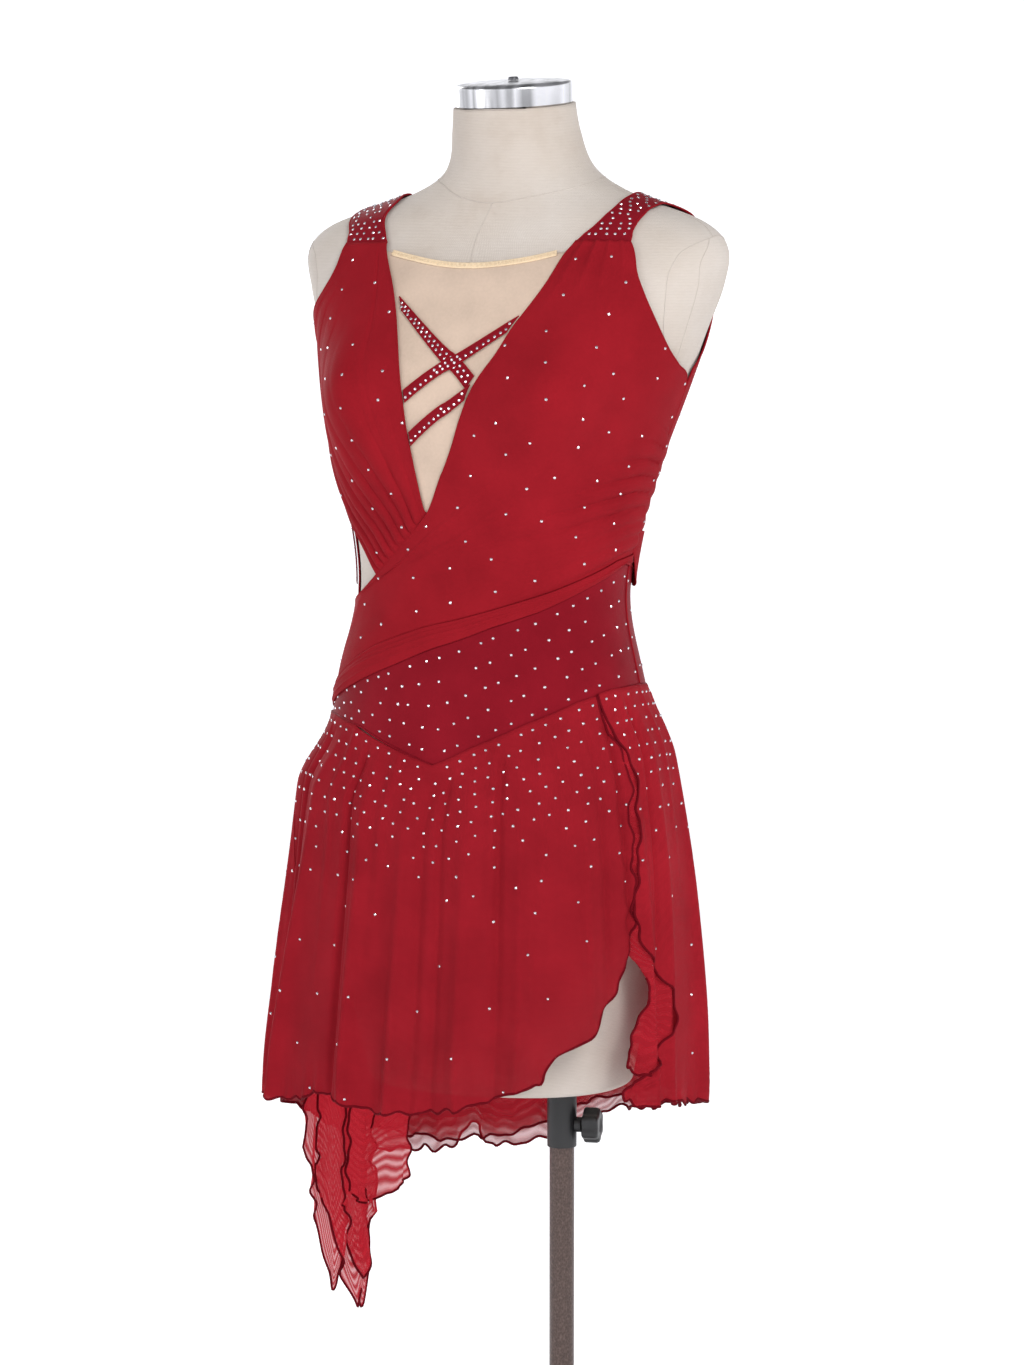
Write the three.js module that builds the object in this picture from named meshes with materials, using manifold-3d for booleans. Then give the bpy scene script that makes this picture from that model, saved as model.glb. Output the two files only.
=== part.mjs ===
// Lyrical dance dress worn by a limbless dress form on a pole stand.
// Millimetres, +Z up, the wearer faces -Y and the wearer's left is +X.
// The origin is the centre of the base plate's underside, on the pole's axis.

import * as THREE from "three";
import createManifold from "manifold-3d";

const manifold = await createManifold();
manifold.setup();

// ---------------------------------------------------------------- sizes

// Where the form's middle stands beside the pole.
const FORM_X = -52;
const FORM_Y = -22;

// Level sections of the form: half width, depth to the front and to the back
// of the section's middle, the middle's shift, and how square the outline is.
const FORM_SECTIONS = {
  columns: ["z", "half", "front", "back", "shiftX", "shiftY", "square"],
  rows: [
    [640, 111, 88, 90, -4, 20, 2.2],
    [700, 124, 97, 102, -6, 20, 2.2],
    [780, 140, 106, 113, -6, 19, 2.2],
    [865, 147, 110, 117, -5, 17, 2.2],
    [930, 139.5, 106, 108, -6, 12, 2.2],
    [990, 127, 98, 94, -5, 5, 2.2],
    [1055, 114, 87, 84, -1, 0, 2.15],
    [1110, 119.5, 92, 88, 2, 0, 2.15],
    [1170, 136.5, 104, 97, 3, 2, 2.2],
    [1225, 151.5, 112, 104, 8.5, 4, 2.25],
    [1275, 165.5, 104, 106, 12, 8, 2.3],
    [1315, 180, 86, 98, 12.5, 12, 2.4],
    [1345, 185, 70, 84, 11, 16, 2.3],
    [1365, 166, 62, 74, 11, 18, 2.0],
    [1385, 108, 56, 64, 15, 19, 1.8],
    [1400, 75, 53, 59, 16.5, 19, 1.9],
    [1415, 60, 52, 55, 15.5, 17, 2.0],
    [1440, 53.5, 52, 52, 14, 13, 2.0],
    [1462, 50.5, 50.5, 50.5, 14, 9, 2.0],
  ],
};

// The skirt's level sections where it hangs clear of the form.
const SKIRT_SECTIONS = {
  columns: ["z", "half", "front", "back", "shiftX", "shiftY", "square"],
  rows: [
    [420, 187, 148, 162, -25, 24, 2.1],
    [560, 187, 146, 158, -24, 23, 2.1],
    [665, 182, 142, 152, -22, 22, 2.1],
    [712, 179.5, 139, 148, -20, 22, 2.1],
    [770, 176, 133, 142, -18, 21, 2.1],
    [836, 170.5, 126, 135, -15.5, 19, 2.1],
    [904, 162, 118, 126, -13.5, 15, 2.15],
    [950, 153, 111, 115, -11.5, 12, 2.2],
    [1000, 136, 102, 102, -5, 5, 2.2],
  ],
};

// The drop from the yoke over which the skirt springs clear of the form.
const SKIRT_SPRING = 60;

// The two cups, as soft mounds on the form.
const CUP = { angle: 33, z: 1222, depth: 24, spreadAngle: 17, spreadZ: 48 };

// Heights of the form's ends.
const FORM_BOTTOM = 646;
const FORM_TOP = 1461;
const BOTTOM_ROUND = 5;

// Neck cap, leaning forward with the neck.
const CAP = { radius: 48.5, height: 18, round: 3, z: 1461.4, lean: 7 };
const CAP_SCREW = { radius: 4.5, height: 2.5, slotWidth: 1.2, slotDepth: 1.0 };

// Stand.
const POLE = { radius: 10.5, top: 950, bottom: 8.4 };
const BORE = { radius: 10.9, top: 1060 };
const COLLAR = { radius: 12.4, length: 53.5, edge: 1, bossRadius: 6.4, bossReach: 17.4 };
const KNOB = {
  angle: 12, height: 611, radius: 15, waist: 12.6, lobes: 6, width: 14, grip: 19, stemRadius: 4.5,
};
const BASE = { radius: 190, thickness: 8, edge: 2.4 };
const HUB = { radius: 26, height: 34, round: 4 };

// Cloth walls and how far each layer lies off the form.
const WALL = 1.4;
const THIN_WALL = 1.0;
const SEAM_GAP = 0.4;
const LIFT = { insert: 1.1, band: 2.5, fronts: 2.9, back: 1.8, strap: 1.8, yoke: 1.8, skirt: 3.6 };

// ---------------------------------------------------------------- curves

// A smooth value from a table of rows, by its first number.
function valueAt(rows, index, x) {
  const last = rows.length - 1;
  let k = 0;
  while (k < last - 1 && x > rows[k + 1][0]) {
    k += 1;
  }
  const slope = (i) => {
    const low = Math.max(i - 1, 0);
    const high = Math.min(i + 1, last);
    return (rows[high][index] - rows[low][index]) / (rows[high][0] - rows[low][0]);
  };
  const span = rows[k + 1][0] - rows[k][0];
  const t = Math.min(Math.max((x - rows[k][0]) / span, 0), 1);
  const a = rows[k][index];
  const b = rows[k + 1][index];
  const t2 = t * t;
  const t3 = t2 * t;
  return (2 * t3 - 3 * t2 + 1) * a
    + (t3 - 2 * t2 + t) * span * slope(k)
    + (3 * t2 - 2 * t3) * b
    + (t3 - t2) * span * slope(k + 1);
}

// A straight-line value from a table of rows, by its first number.
function lineAt(rows, index, x) {
  const last = rows.length - 1;
  let k = 0;
  while (k < last - 1 && x > rows[k + 1][0]) {
    k += 1;
  }
  const t = Math.min(Math.max((x - rows[k][0]) / (rows[k + 1][0] - rows[k][0]), 0), 1);
  return rows[k][index] + (rows[k + 1][index] - rows[k][index]) * t;
}

// A smooth path through [angle, z] points; the share runs 0 to 1 along it.
function pathThrough(points) {
  const scale = 2.2;
  const steps = [0];
  for (let i = 1; i < points.length; i += 1) {
    const across = (points[i][0] - points[i - 1][0]) * scale;
    const down = points[i][1] - points[i - 1][1];
    steps.push(steps[i - 1] + Math.hypot(across, down));
  }
  const rows = points.map((point, i) => [steps[i] / steps[steps.length - 1], point[0], point[1]]);
  return (share) => [valueAt(rows, 1, share), valueAt(rows, 2, share)];
}

function mix(a, b, t) {
  return a + (b - a) * t;
}

function ease(t) {
  const s = Math.min(Math.max(t, 0), 1);
  return s * s * (3 - 2 * s);
}

function mound(distance, width) {
  return Math.exp(-((distance / width) ** 2));
}

// ------------------------------------------------------------- surfaces

function sectionPoint(table, angle, z) {
  const a = THREE.MathUtils.degToRad(angle);
  const sine = Math.sin(a);
  const cosine = Math.cos(a);
  const power = 2 / valueAt(table.rows, 6, z);
  const depth = valueAt(table.rows, cosine >= 0 ? 2 : 3, z);
  const x = valueAt(table.rows, 1, z) * Math.sign(sine) * Math.abs(sine) ** power;
  const y = -depth * Math.sign(cosine) * Math.abs(cosine) ** power;
  return new THREE.Vector3(
    FORM_X + valueAt(table.rows, 4, z) + x,
    FORM_Y + valueAt(table.rows, 5, z) + y,
    z,
  );
}

// A point on the form; the angle is 0 in front and grows to the wearer's left.
function formPoint(angle, z) {
  const point = sectionPoint(FORM_SECTIONS, angle, z);
  const turn = ((angle + 180) % 360 + 360) % 360 - 180;
  const a = THREE.MathUtils.degToRad(turn);
  let rise = 0;
  for (const side of [-1, 1]) {
    const across = (turn - side * CUP.angle) / CUP.spreadAngle;
    const along = (z - CUP.z) / CUP.spreadZ;
    rise += CUP.depth * Math.exp(-across * across - along * along);
  }
  point.x += rise * Math.sin(a) * 0.5;
  point.y -= rise * Math.sqrt(Math.max(Math.cos(a), 0));
  return point;
}

// The outward direction of a surface given as a function of angle and height.
function outward(surface, angle, z) {
  const across = surface(angle + 0.6, z).sub(surface(angle - 0.6, z));
  const along = surface(angle, z + 1).sub(surface(angle, z - 1));
  return across.cross(along).normalize();
}

function onForm(angle, z, lift) {
  const point = formPoint(angle, z);
  return point.addScaledVector(outward(formPoint, angle, z), lift);
}

// Seam heights round the body, by angle from the right side (-82) round the
// front and the left side to the right side again (278).
const YOKE_TOP = [
  [-82, 956], [-68.5, 963], [-39.5, 986], [-18, 1004], [-1.5, 1020], [18.5, 1037],
  [38.5, 1050], [61.5, 1068], [88, 1087], [110, 1079], [140, 1060], [170, 1038],
  [200, 1012], [230, 988], [260, 966], [278, 956],
];
const YOKE_BOTTOM = [
  [-82, 950], [-68.5, 956.5], [-50, 956], [-31.5, 950], [-13, 934], [-0.5, 922],
  [12, 937], [34, 957.5], [57, 975], [78, 984], [92, 985], [110, 983], [140, 977],
  [170, 972], [200, 965], [230, 958], [260, 952], [278, 950],
];

function turned(angle) {
  let value = angle;
  while (value < -82) {
    value += 360;
  }
  while (value > 278) {
    value -= 360;
  }
  return value;
}

function yokeTop(angle) {
  return lineAt(YOKE_TOP, 1, turned(angle));
}

function yokeBottom(angle) {
  return lineAt(YOKE_BOTTOM, 1, turned(angle));
}

// Hanging folds of the skirt: angle at the seam and at the hem, half width in
// degrees, height at the hem.
const SKIRT_FOLDS = {
  columns: ["top", "hem", "width", "height"],
  rows: [
    [-62, -64, 4.5, 7],
    [-42, -50, 6, 11],
    [-20, -17, 5, 12],
    [-6, -4, 4, 8],
    [11, 13, 5.5, 10],
    [27, 29, 5, 8],
    [47, 50, 5, 6],
    [68, 72, 5, 9],
    [84, 80, 4.5, 7],
    [101, 104, 6, 10],
    [119, 123, 5, 8],
    [138, 141, 6, 11],
    [158, 162, 5.5, 9],
    [176, 183, 6, 12],
    [199, 203, 5, 10],
    [219, 217, 6, 11],
    [237, 235, 5, 9],
    [255, 254, 5, 8],
    [271, 268, 5, 9],
    [285, 283, 4.5, 8],
  ],
};

function skirtFolds(angle, drop) {
  const grown = ease(drop / 420) * 0.9 + 0.1 * ease(drop / 60);
  let height = 0;
  for (const [top, hem, width, peak] of SKIRT_FOLDS.rows) {
    const centre = mix(top, hem, Math.min(drop / 320, 1));
    const distance = ((angle - centre + 180) % 360 + 360) % 360 - 180;
    height += peak * grown * mound(distance, width);
  }
  return height;
}

function skirtPoint(angle, z) {
  const drop = yokeBottom(angle) - z;
  const clear = sectionPoint(SKIRT_SECTIONS, angle, z);
  const share = ease(drop / SKIRT_SPRING);
  if (share >= 1) {
    return clear;
  }
  const near = onForm(angle, z, LIFT.skirt);
  return near.lerp(clear, share);
}

// A point of a skirt layer; inner layers have a smaller lift.
function onSkirt(angle, z, lift) {
  const drop = Math.max(yokeBottom(angle) - z, 0);
  const across = skirtPoint(angle + 0.8, z).sub(skirtPoint(angle - 0.8, z));
  const out = new THREE.Vector3(across.y, -across.x, 0).normalize();
  const spread = lift < 0 ? mix(0.38, 1, ease((drop - 5) / 110)) : 1;
  return skirtPoint(angle, z).addScaledVector(out, lift * spread + skirtFolds(angle, drop));
}

// ---------------------------------------------------------------- solids

function closedMesh(name, positions, faces, material) {
  const geometry = new THREE.BufferGeometry();
  geometry.setAttribute("position", new THREE.Float32BufferAttribute(positions, 3));
  geometry.setIndex(faces);
  geometry.computeVertexNormals();
  const mesh = new THREE.Mesh(geometry, material);
  mesh.name = name;
  return mesh;
}

// A cloth wall over a grid: across runs to the wearer's left and along runs
// up, and place(across, along, lift) gives the points of both faces.
function clothWall(name, across, along, place, wall, material) {
  const positions = [];
  const faces = [];
  const columns = across.length;
  const rows = along.length;
  for (const lift of [0, wall]) {
    for (const v of along) {
      for (const u of across) {
        const point = place(u, v, lift);
        positions.push(point.x, point.y, point.z);
      }
    }
  }
  const at = (layer, row, column) => (layer * rows + row) * columns + column;
  for (let r = 0; r < rows - 1; r += 1) {
    for (let c = 0; c < columns - 1; c += 1) {
      faces.push(at(1, r, c), at(1, r, c + 1), at(1, r + 1, c + 1));
      faces.push(at(1, r, c), at(1, r + 1, c + 1), at(1, r + 1, c));
      faces.push(at(0, r, c), at(0, r + 1, c + 1), at(0, r, c + 1));
      faces.push(at(0, r, c), at(0, r + 1, c), at(0, r + 1, c + 1));
    }
  }
  const rim = (a, b) => {
    faces.push(a[0], b[0], b[1]);
    faces.push(a[0], b[1], a[1]);
  };
  for (let c = 0; c < columns - 1; c += 1) {
    rim([at(0, 0, c), at(1, 0, c)], [at(0, 0, c + 1), at(1, 0, c + 1)]);
    rim([at(0, rows - 1, c + 1), at(1, rows - 1, c + 1)], [at(0, rows - 1, c), at(1, rows - 1, c)]);
  }
  for (let r = 0; r < rows - 1; r += 1) {
    rim([at(0, r + 1, 0), at(1, r + 1, 0)], [at(0, r, 0), at(1, r, 0)]);
    const edge = columns - 1;
    rim([at(0, r, edge), at(1, r, edge)], [at(0, r + 1, edge), at(1, r + 1, edge)]);
  }
  return closedMesh(name, positions, faces, material);
}

function shares(count) {
  return Array.from({ length: count + 1 }, (_, i) => i / count);
}

// A panel on the form between four edge paths given in [angle, z].
function panelBetween(edges) {
  const left = pathThrough(edges.left);
  const right = pathThrough(edges.right);
  const top = pathThrough(edges.top);
  const bottom = edges.bottom instanceof Function ? edges.bottom : pathThrough(edges.bottom);
  return (u, v) => [0, 1].map((k) => {
    const sides = mix(left(v)[k], right(v)[k], u);
    const ends = mix(bottom(u)[k], top(u)[k], v);
    const low = mix(bottom(0)[k], bottom(1)[k], u);
    const high = mix(top(0)[k], top(1)[k], u);
    return sides + ends - mix(low, high, v);
  });
}

function formPanel(name, edges, counts, lift, relief, wall, material) {
  const spot = panelBetween(edges);
  const place = (u, v, out) => {
    const [angle, z] = spot(u, v);
    return onForm(angle, z, lift + relief(u, v) + out);
  };
  return clothWall(name, shares(counts[0]), shares(counts[1]), place, wall, material);
}

// A panel on the form whose columns run between two heights at each angle.
function formStrip(name, angles, topAt, bottomAt, sizes, material) {
  const place = (angle, v, out) => {
    const rise = sizes.roll ? sizes.roll * Math.sin(Math.PI * v) : 0;
    return onForm(angle, mix(bottomAt(angle), topAt(angle), v), sizes.lift + rise + out);
  };
  const heights = shares(sizes.rows).map((share) => 1 - (1 - share) ** (sizes.crowd ?? 1));
  return clothWall(name, angles, heights, place, sizes.wall, material);
}

// A skirt panel: edges are [z, angle] tables, the hem is an [angle, z] table.
function skirtPanel(name, spec, counts, lift, wall, material) {
  const place = (u, v, out) => {
    const guess = mix(lineAt(spec.right, 1, 900), lineAt(spec.left, 1, 900), u);
    const top = spec.top ? spec.top(guess) : yokeBottom(guess) - SEAM_GAP;
    const hemAngle = mix(spec.hem[0][0], spec.hem[spec.hem.length - 1][0], u);
    const z = mix(lineAt(spec.hem, 1, hemAngle), top, v);
    const angle = mix(valueAt(spec.right, 1, z), valueAt(spec.left, 1, z), u);
    return onSkirt(angle, z, lift + out);
  };
  return clothWall(name, shares(counts[0]), shares(counts[1]), place, wall, material);
}

function fromManifold(name, solid, material) {
  const data = solid.getMesh();
  const positions = [];
  for (let i = 0; i < data.numVert; i += 1) {
    const base = i * data.numProp;
    positions.push(...data.vertProperties.subarray(base, base + 3));
  }
  return closedMesh(name, positions, Array.from(data.triVerts), material);
}

function toManifold(mesh) {
  const position = mesh.geometry.attributes.position;
  const data = new manifold.Mesh({
    numProp: 3,
    vertProperties: new Float32Array(position.array),
    triVerts: new Uint32Array(mesh.geometry.index.array),
  });
  return new manifold.Manifold(data);
}

// A turned solid from a closed outline of [radius, z] points.
function turnedSolid(name, outline, segments, material) {
  const section = new manifold.CrossSection([outline]);
  return fromManifold(name, section.revolve(segments), material);
}

// ------------------------------------------------------------- materials

function cloth(color, roughness) {
  return new THREE.MeshStandardMaterial({ color, roughness, side: THREE.DoubleSide });
}

const RED_JERSEY = cloth(0x9b202a, 0.6);
const DARK_SATIN = cloth(0x871e2a, 0.45);
const RED_MESH = cloth(0xa8303c, 0.7);
const NUDE_MESH = cloth(0xe2ceb6, 0.8);
const NUDE_ELASTIC = cloth(0xf0d5af, 0.7);
const LINEN = cloth(0xd7cabc, 0.9);
const STEEL = new THREE.MeshStandardMaterial({ color: 0xc9cacc, roughness: 0.2, metalness: 1 });
const DARK_STEEL = new THREE.MeshStandardMaterial({ color: 0x4a4a4c, roughness: 0.4, metalness: 1 });
const BROWN_PAINT = new THREE.MeshStandardMaterial({ color: 0x5c4842, roughness: 0.45, metalness: 0.3 });
const BLACK_PLASTIC = new THREE.MeshStandardMaterial({ color: 0x161616, roughness: 0.5 });

// ------------------------------------------------------------- the form

function buildTorso() {
  const heights = [
    700, 745, 790, 835, 880, 915, 945, 970, 992, 1012, 1032, 1052, 1072, 1094, 1118, 1145,
    1172, 1198, 1222, 1246, 1272, 1296, 1318, 1336, 1350, 1362, 1373, 1383, 1392, 1401, 1412, 1432,
  ];
  const rings = [FORM_BOTTOM, FORM_BOTTOM + BOTTOM_ROUND * 0.35, FORM_BOTTOM + BOTTOM_ROUND];
  rings.push(...heights, FORM_TOP);
  const inset = (z) => {
    const down = Math.max(FORM_BOTTOM + BOTTOM_ROUND - z, 0);
    return BOTTOM_ROUND - Math.sqrt(BOTTOM_ROUND ** 2 - down ** 2);
  };
  const segments = 36;
  const positions = [];
  const faces = [];
  for (const z of rings) {
    for (let i = 0; i < segments; i += 1) {
      const angle = (i * 360) / segments - 180;
      const point = formPoint(angle, z);
      const across = formPoint(angle + 1, z).sub(formPoint(angle - 1, z));
      const out = new THREE.Vector3(across.y, -across.x, 0).normalize();
      point.addScaledVector(out, -inset(z));
      if (z === FORM_TOP) {
        point.z += leanAt(point.y);
      }
      positions.push(point.x, point.y, point.z);
    }
  }
  const at = (ring, i) => ring * segments + ((i + segments) % segments);
  for (let r = 0; r < rings.length - 1; r += 1) {
    for (let i = 0; i < segments; i += 1) {
      faces.push(at(r, i), at(r, i + 1), at(r + 1, i + 1));
      faces.push(at(r, i), at(r + 1, i + 1), at(r + 1, i));
    }
  }
  const lowCentre = positions.length / 3;
  positions.push(FORM_X, FORM_Y + 22, FORM_BOTTOM);
  const highCentre = lowCentre + 1;
  positions.push(NECK_X, NECK_Y, FORM_TOP);
  for (let i = 0; i < segments; i += 1) {
    faces.push(at(0, i + 1), at(0, i), lowCentre);
    faces.push(at(rings.length - 1, i), at(rings.length - 1, i + 1), highCentre);
  }
  const shell = toManifold(closedMesh("form_torso", positions, faces, LINEN));
  const boreLength = BORE.top - FORM_BOTTOM + 20;
  const bore = manifold.Manifold.cylinder(boreLength, BORE.radius, BORE.radius, 24)
    .translate([0, 0, FORM_BOTTOM - 20]);
  return fromManifold("form_torso", shell.subtract(bore), LINEN);
}

const NECK_X = FORM_X + 14;
const NECK_Y = FORM_Y + 9;

function leanAt(y) {
  return (y - NECK_Y) * Math.tan(THREE.MathUtils.degToRad(CAP.lean));
}

function placeOnNeck(solid, lift) {
  return solid.rotate([CAP.lean, 0, 0]).translate([NECK_X, NECK_Y, CAP.z + lift]);
}

function buildCap() {
  const r = CAP.radius;
  const h = CAP.height;
  const c = CAP.round;
  const outline = [
    [0, 0], [r - 0.8, 0], [r, 0.8], [r, h - c], [r - c * 0.1, h - c * 0.55],
    [r - c * 0.45, h - c * 0.14], [r - c, h], [r - 9, h + 1.2], [0, h + 2.2],
  ];
  const section = new manifold.CrossSection([outline]);
  return fromManifold("neck_cap", placeOnNeck(section.revolve(36), 0), STEEL);
}

function buildCapScrew() {
  const { radius, height, slotWidth, slotDepth } = CAP_SCREW;
  const head = manifold.Manifold.cylinder(height, radius, radius - 0.6, 20);
  const slot = manifold.Manifold.cube([radius * 2 + 1, slotWidth, slotDepth + 1], true)
    .rotate([0, 0, 35])
    .translate([0, 0, height + 0.5 - slotDepth / 2]);
  const solid = placeOnNeck(head.subtract(slot).translate([0, 0, CAP.height + 2.6]), 0);
  return fromManifold("cap_screw", solid, DARK_STEEL);
}

function buildStand() {
  const stand = new THREE.Group();
  stand.name = "stand";
  const b = BASE;
  stand.add(turnedSolid("base_plate", [
    [0, 0], [b.radius - 1, 0], [b.radius, 1], [b.radius, b.thickness - b.edge],
    [b.radius - b.edge * 0.3, b.thickness - b.edge * 0.3], [b.radius - b.edge, b.thickness],
    [0, b.thickness],
  ], 48, BROWN_PAINT));
  const h = HUB;
  const low = b.thickness + SEAM_GAP;
  stand.add(turnedSolid("base_hub", [
    [POLE.radius + SEAM_GAP, low], [h.radius, low], [h.radius - 2, low + 6], [h.radius - 9, low + 14],
    [h.radius - 10, low + h.height - h.round], [h.radius - 12, low + h.height],
    [POLE.radius + SEAM_GAP, low + h.height],
  ], 28, BROWN_PAINT));
  stand.add(turnedSolid("pole", [
    [0, POLE.bottom], [POLE.radius, POLE.bottom], [POLE.radius, POLE.top - 1],
    [POLE.radius - 1, POLE.top], [0, POLE.top],
  ], 24, BROWN_PAINT));
  return stand;
}

function buildCollar() {
  const inner = POLE.radius + SEAM_GAP;
  const top = FORM_BOTTOM - SEAM_GAP;
  const low = top - COLLAR.length;
  const section = new manifold.CrossSection([[
    [inner, low], [COLLAR.radius - COLLAR.edge, low], [COLLAR.radius, low + COLLAR.edge],
    [COLLAR.radius, top], [inner, top],
  ]]);
  const alongKnob = (solid) => solid.rotate([0, 90, 0]).rotate([0, 0, KNOB.angle])
    .translate([0, 0, KNOB.height]);
  const middle = (inner + COLLAR.radius) / 2;
  const boss = manifold.Manifold
    .cylinder(COLLAR.bossReach - middle, COLLAR.bossRadius, COLLAR.bossRadius, 16)
    .translate([0, 0, middle]);
  const hollow = manifold.Manifold.cylinder(COLLAR.length, inner, inner, 28)
    .translate([0, 0, low]);
  const holeRadius = KNOB.stemRadius + SEAM_GAP;
  const hole = manifold.Manifold.cylinder(40, holeRadius, holeRadius, 16);
  const clamp = section.revolve(28).add(alongKnob(boss)).subtract(hollow)
    .subtract(alongKnob(hole));
  return fromManifold("socket_collar", clamp, BLACK_PLASTIC);
}

function buildKnob() {
  const outline = [];
  const steps = KNOB.lobes * 6;
  for (let i = 0; i < steps; i += 1) {
    const a = (i / steps) * Math.PI * 2;
    const radius = mix(KNOB.waist, KNOB.radius, 0.5 + 0.5 * Math.cos(a * KNOB.lobes));
    outline.push([radius * Math.cos(a), radius * Math.sin(a)]);
  }
  const start = POLE.radius + SEAM_GAP;
  const head = new manifold.CrossSection([outline]).extrude(KNOB.width)
    .translate([0, 0, KNOB.grip]);
  const reach = KNOB.grip - start + 2;
  const stem = manifold.Manifold.cylinder(reach, KNOB.stemRadius, KNOB.stemRadius, 24)
    .translate([0, 0, start]);
  const solid = head.add(stem)
    .rotate([0, 90, 0])
    .rotate([0, 0, KNOB.angle])
    .translate([0, 0, KNOB.height]);
  return fromManifold("clamp_knob", solid, BLACK_PLASTIC);
}

// ------------------------------------------------------------ the bodice

// Edges as [angle, z] points on the form.
const RIGHT_V = [
  [-7.8, 1131], [-9.5, 1168], [-11, 1198], [-12, 1222], [-13.5, 1245], [-15.5, 1272],
  [-18, 1306], [-21, 1328], [-24.5, 1347],
];
const LEFT_V = [
  [-6.5, 1129], [-3.5, 1141], [-0.5, 1159], [2.5, 1182], [4.5, 1204], [6.5, 1224],
  [8.5, 1238], [12, 1257], [14, 1275], [16, 1291], [18.5, 1314], [21, 1335], [24.5, 1347],
];
const WRAP_DIAGONAL = [
  [-74, 1045], [-66, 1052], [-50, 1062], [-37, 1076], [-23, 1097], [-14.3, 1111.5], [-6.5, 1129],
];
const FOLD_LINE = [
  [-82, 975], [-68, 980], [-50, 998], [-30, 1018], [-8, 1034.5], [9.5, 1045],
  [29, 1057], [44, 1066], [61, 1077.5], [80, 1090], [94, 1094],
];

// Columns shared by the wrap's foot, its low fold and the yoke below them.
const WRAP_COLUMNS = [
  -82, -75, -68, -59, -50, -39.5, -30, -18, -9, -0.5, 9.5, 19, 29, 39, 50, 61.5, 71, 80, 88, 94,
];

function columnAt(columns, share) {
  const spot = share * (columns.length - 1);
  const low = Math.min(Math.floor(spot), columns.length - 2);
  return mix(columns[low], columns[low + 1], spot - low);
}

const frontRight = {
  top: [[-40, 1346.5], [-24.5, 1347]],
  right: RIGHT_V,
  left: [
    [-37.6, 1077.4], [-41.5, 1086], [-47, 1098], [-54, 1109], [-61, 1120], [-71.5, 1145], [-84, 1192],
    [-92, 1235], [-88, 1257], [-77, 1274], [-63, 1292], [-49, 1309], [-41.5, 1328], [-40, 1346.5],
  ],
  bottom: [[-37.6, 1077.4], [-23.6, 1098.2], [-15.2, 1112.6], [-7.8, 1131]],
};

// Pleats where the right front is gathered into the wrap's edge.
const RIGHT_PLEATS = {
  columns: ["foot", "lean", "width", "height", "reach"],
  rows: [
    [0.1, -0.1, 0.045, 2.6, 0.62],
    [0.24, -0.16, 0.04, 3.0, 0.7],
    [0.37, -0.18, 0.045, 2.4, 0.58],
    [0.51, -0.2, 0.04, 3.1, 0.66],
    [0.64, -0.18, 0.04, 2.3, 0.5],
    [0.77, -0.16, 0.04, 2.8, 0.56],
    [0.9, -0.12, 0.035, 2.0, 0.42],
  ],
};

function rightRelief(u, v) {
  let height = 0;
  for (const [foot, lean, width, peak, reach] of RIGHT_PLEATS.rows) {
    const centre = foot + lean * v;
    height += peak * (1 - ease(v / reach)) * mound(u - centre, width);
  }
  return height * ease(u / 0.06) * ease((1 - u) / 0.05);
}

const leftWrap = {
  top: [[24.5, 1347], [41, 1346.5]],
  left: [[-82, 975.5], [-79, 1010], ...WRAP_DIAGONAL.slice(0, -1), ...LEFT_V],
  right: [
    [94, 1094.4], [94, 1130], [94, 1180], [94, 1222], [90.5, 1242], [82.5, 1250], [72.5, 1263],
    [60, 1286], [50.5, 1306], [44.5, 1324], [41, 1346.5],
  ],
  bottom: (u) => {
    const angle = columnAt(WRAP_COLUMNS, u);
    return [angle, lineAt(FOLD_LINE, 1, angle) + SEAM_GAP];
  },
};

// Ruching at the wrap's left side seam, and the folds that run on from it.
const WRAP_FOLDS = {
  columns: ["seam", "far", "width", "height", "reach"],
  rows: [
    [0.12, 0.1, 0.016, 3.0, 0.8],
    [0.18, 0.17, 0.016, 2.6, 0.62],
    [0.245, 0.26, 0.017, 3.2, 0.72],
    [0.31, 0.35, 0.017, 2.5, 0.5],
    [0.375, 0.44, 0.018, 2.8, 0.56],
    [0.44, 0.53, 0.018, 2.0, 0.4],
  ],
};
const STRAP_GATHERS = {
  columns: ["across", "width", "height"],
  rows: [[0.16, 0.06, 1.4], [0.38, 0.06, 1.7], [0.6, 0.06, 1.5], [0.83, 0.06, 1.3]],
};

function wrapRelief(u, v) {
  let height = 0;
  for (const [seam, far, width, peak, reach] of WRAP_FOLDS.rows) {
    const away = 1 - u;
    const centre = mix(seam, far, away);
    height += peak * (1 - ease(away / reach)) * mound(v - centre, width + 0.02 * away);
  }
  for (const [across, width, peak] of STRAP_GATHERS.rows) {
    height += peak * ease((v - 0.86) / 0.14) * mound(u - across, width);
  }
  return height * ease(u / 0.04) * ease((1 - u) / 0.03 + 0.35);
}

const BAND_HEIGHT = 4.5;

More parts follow.
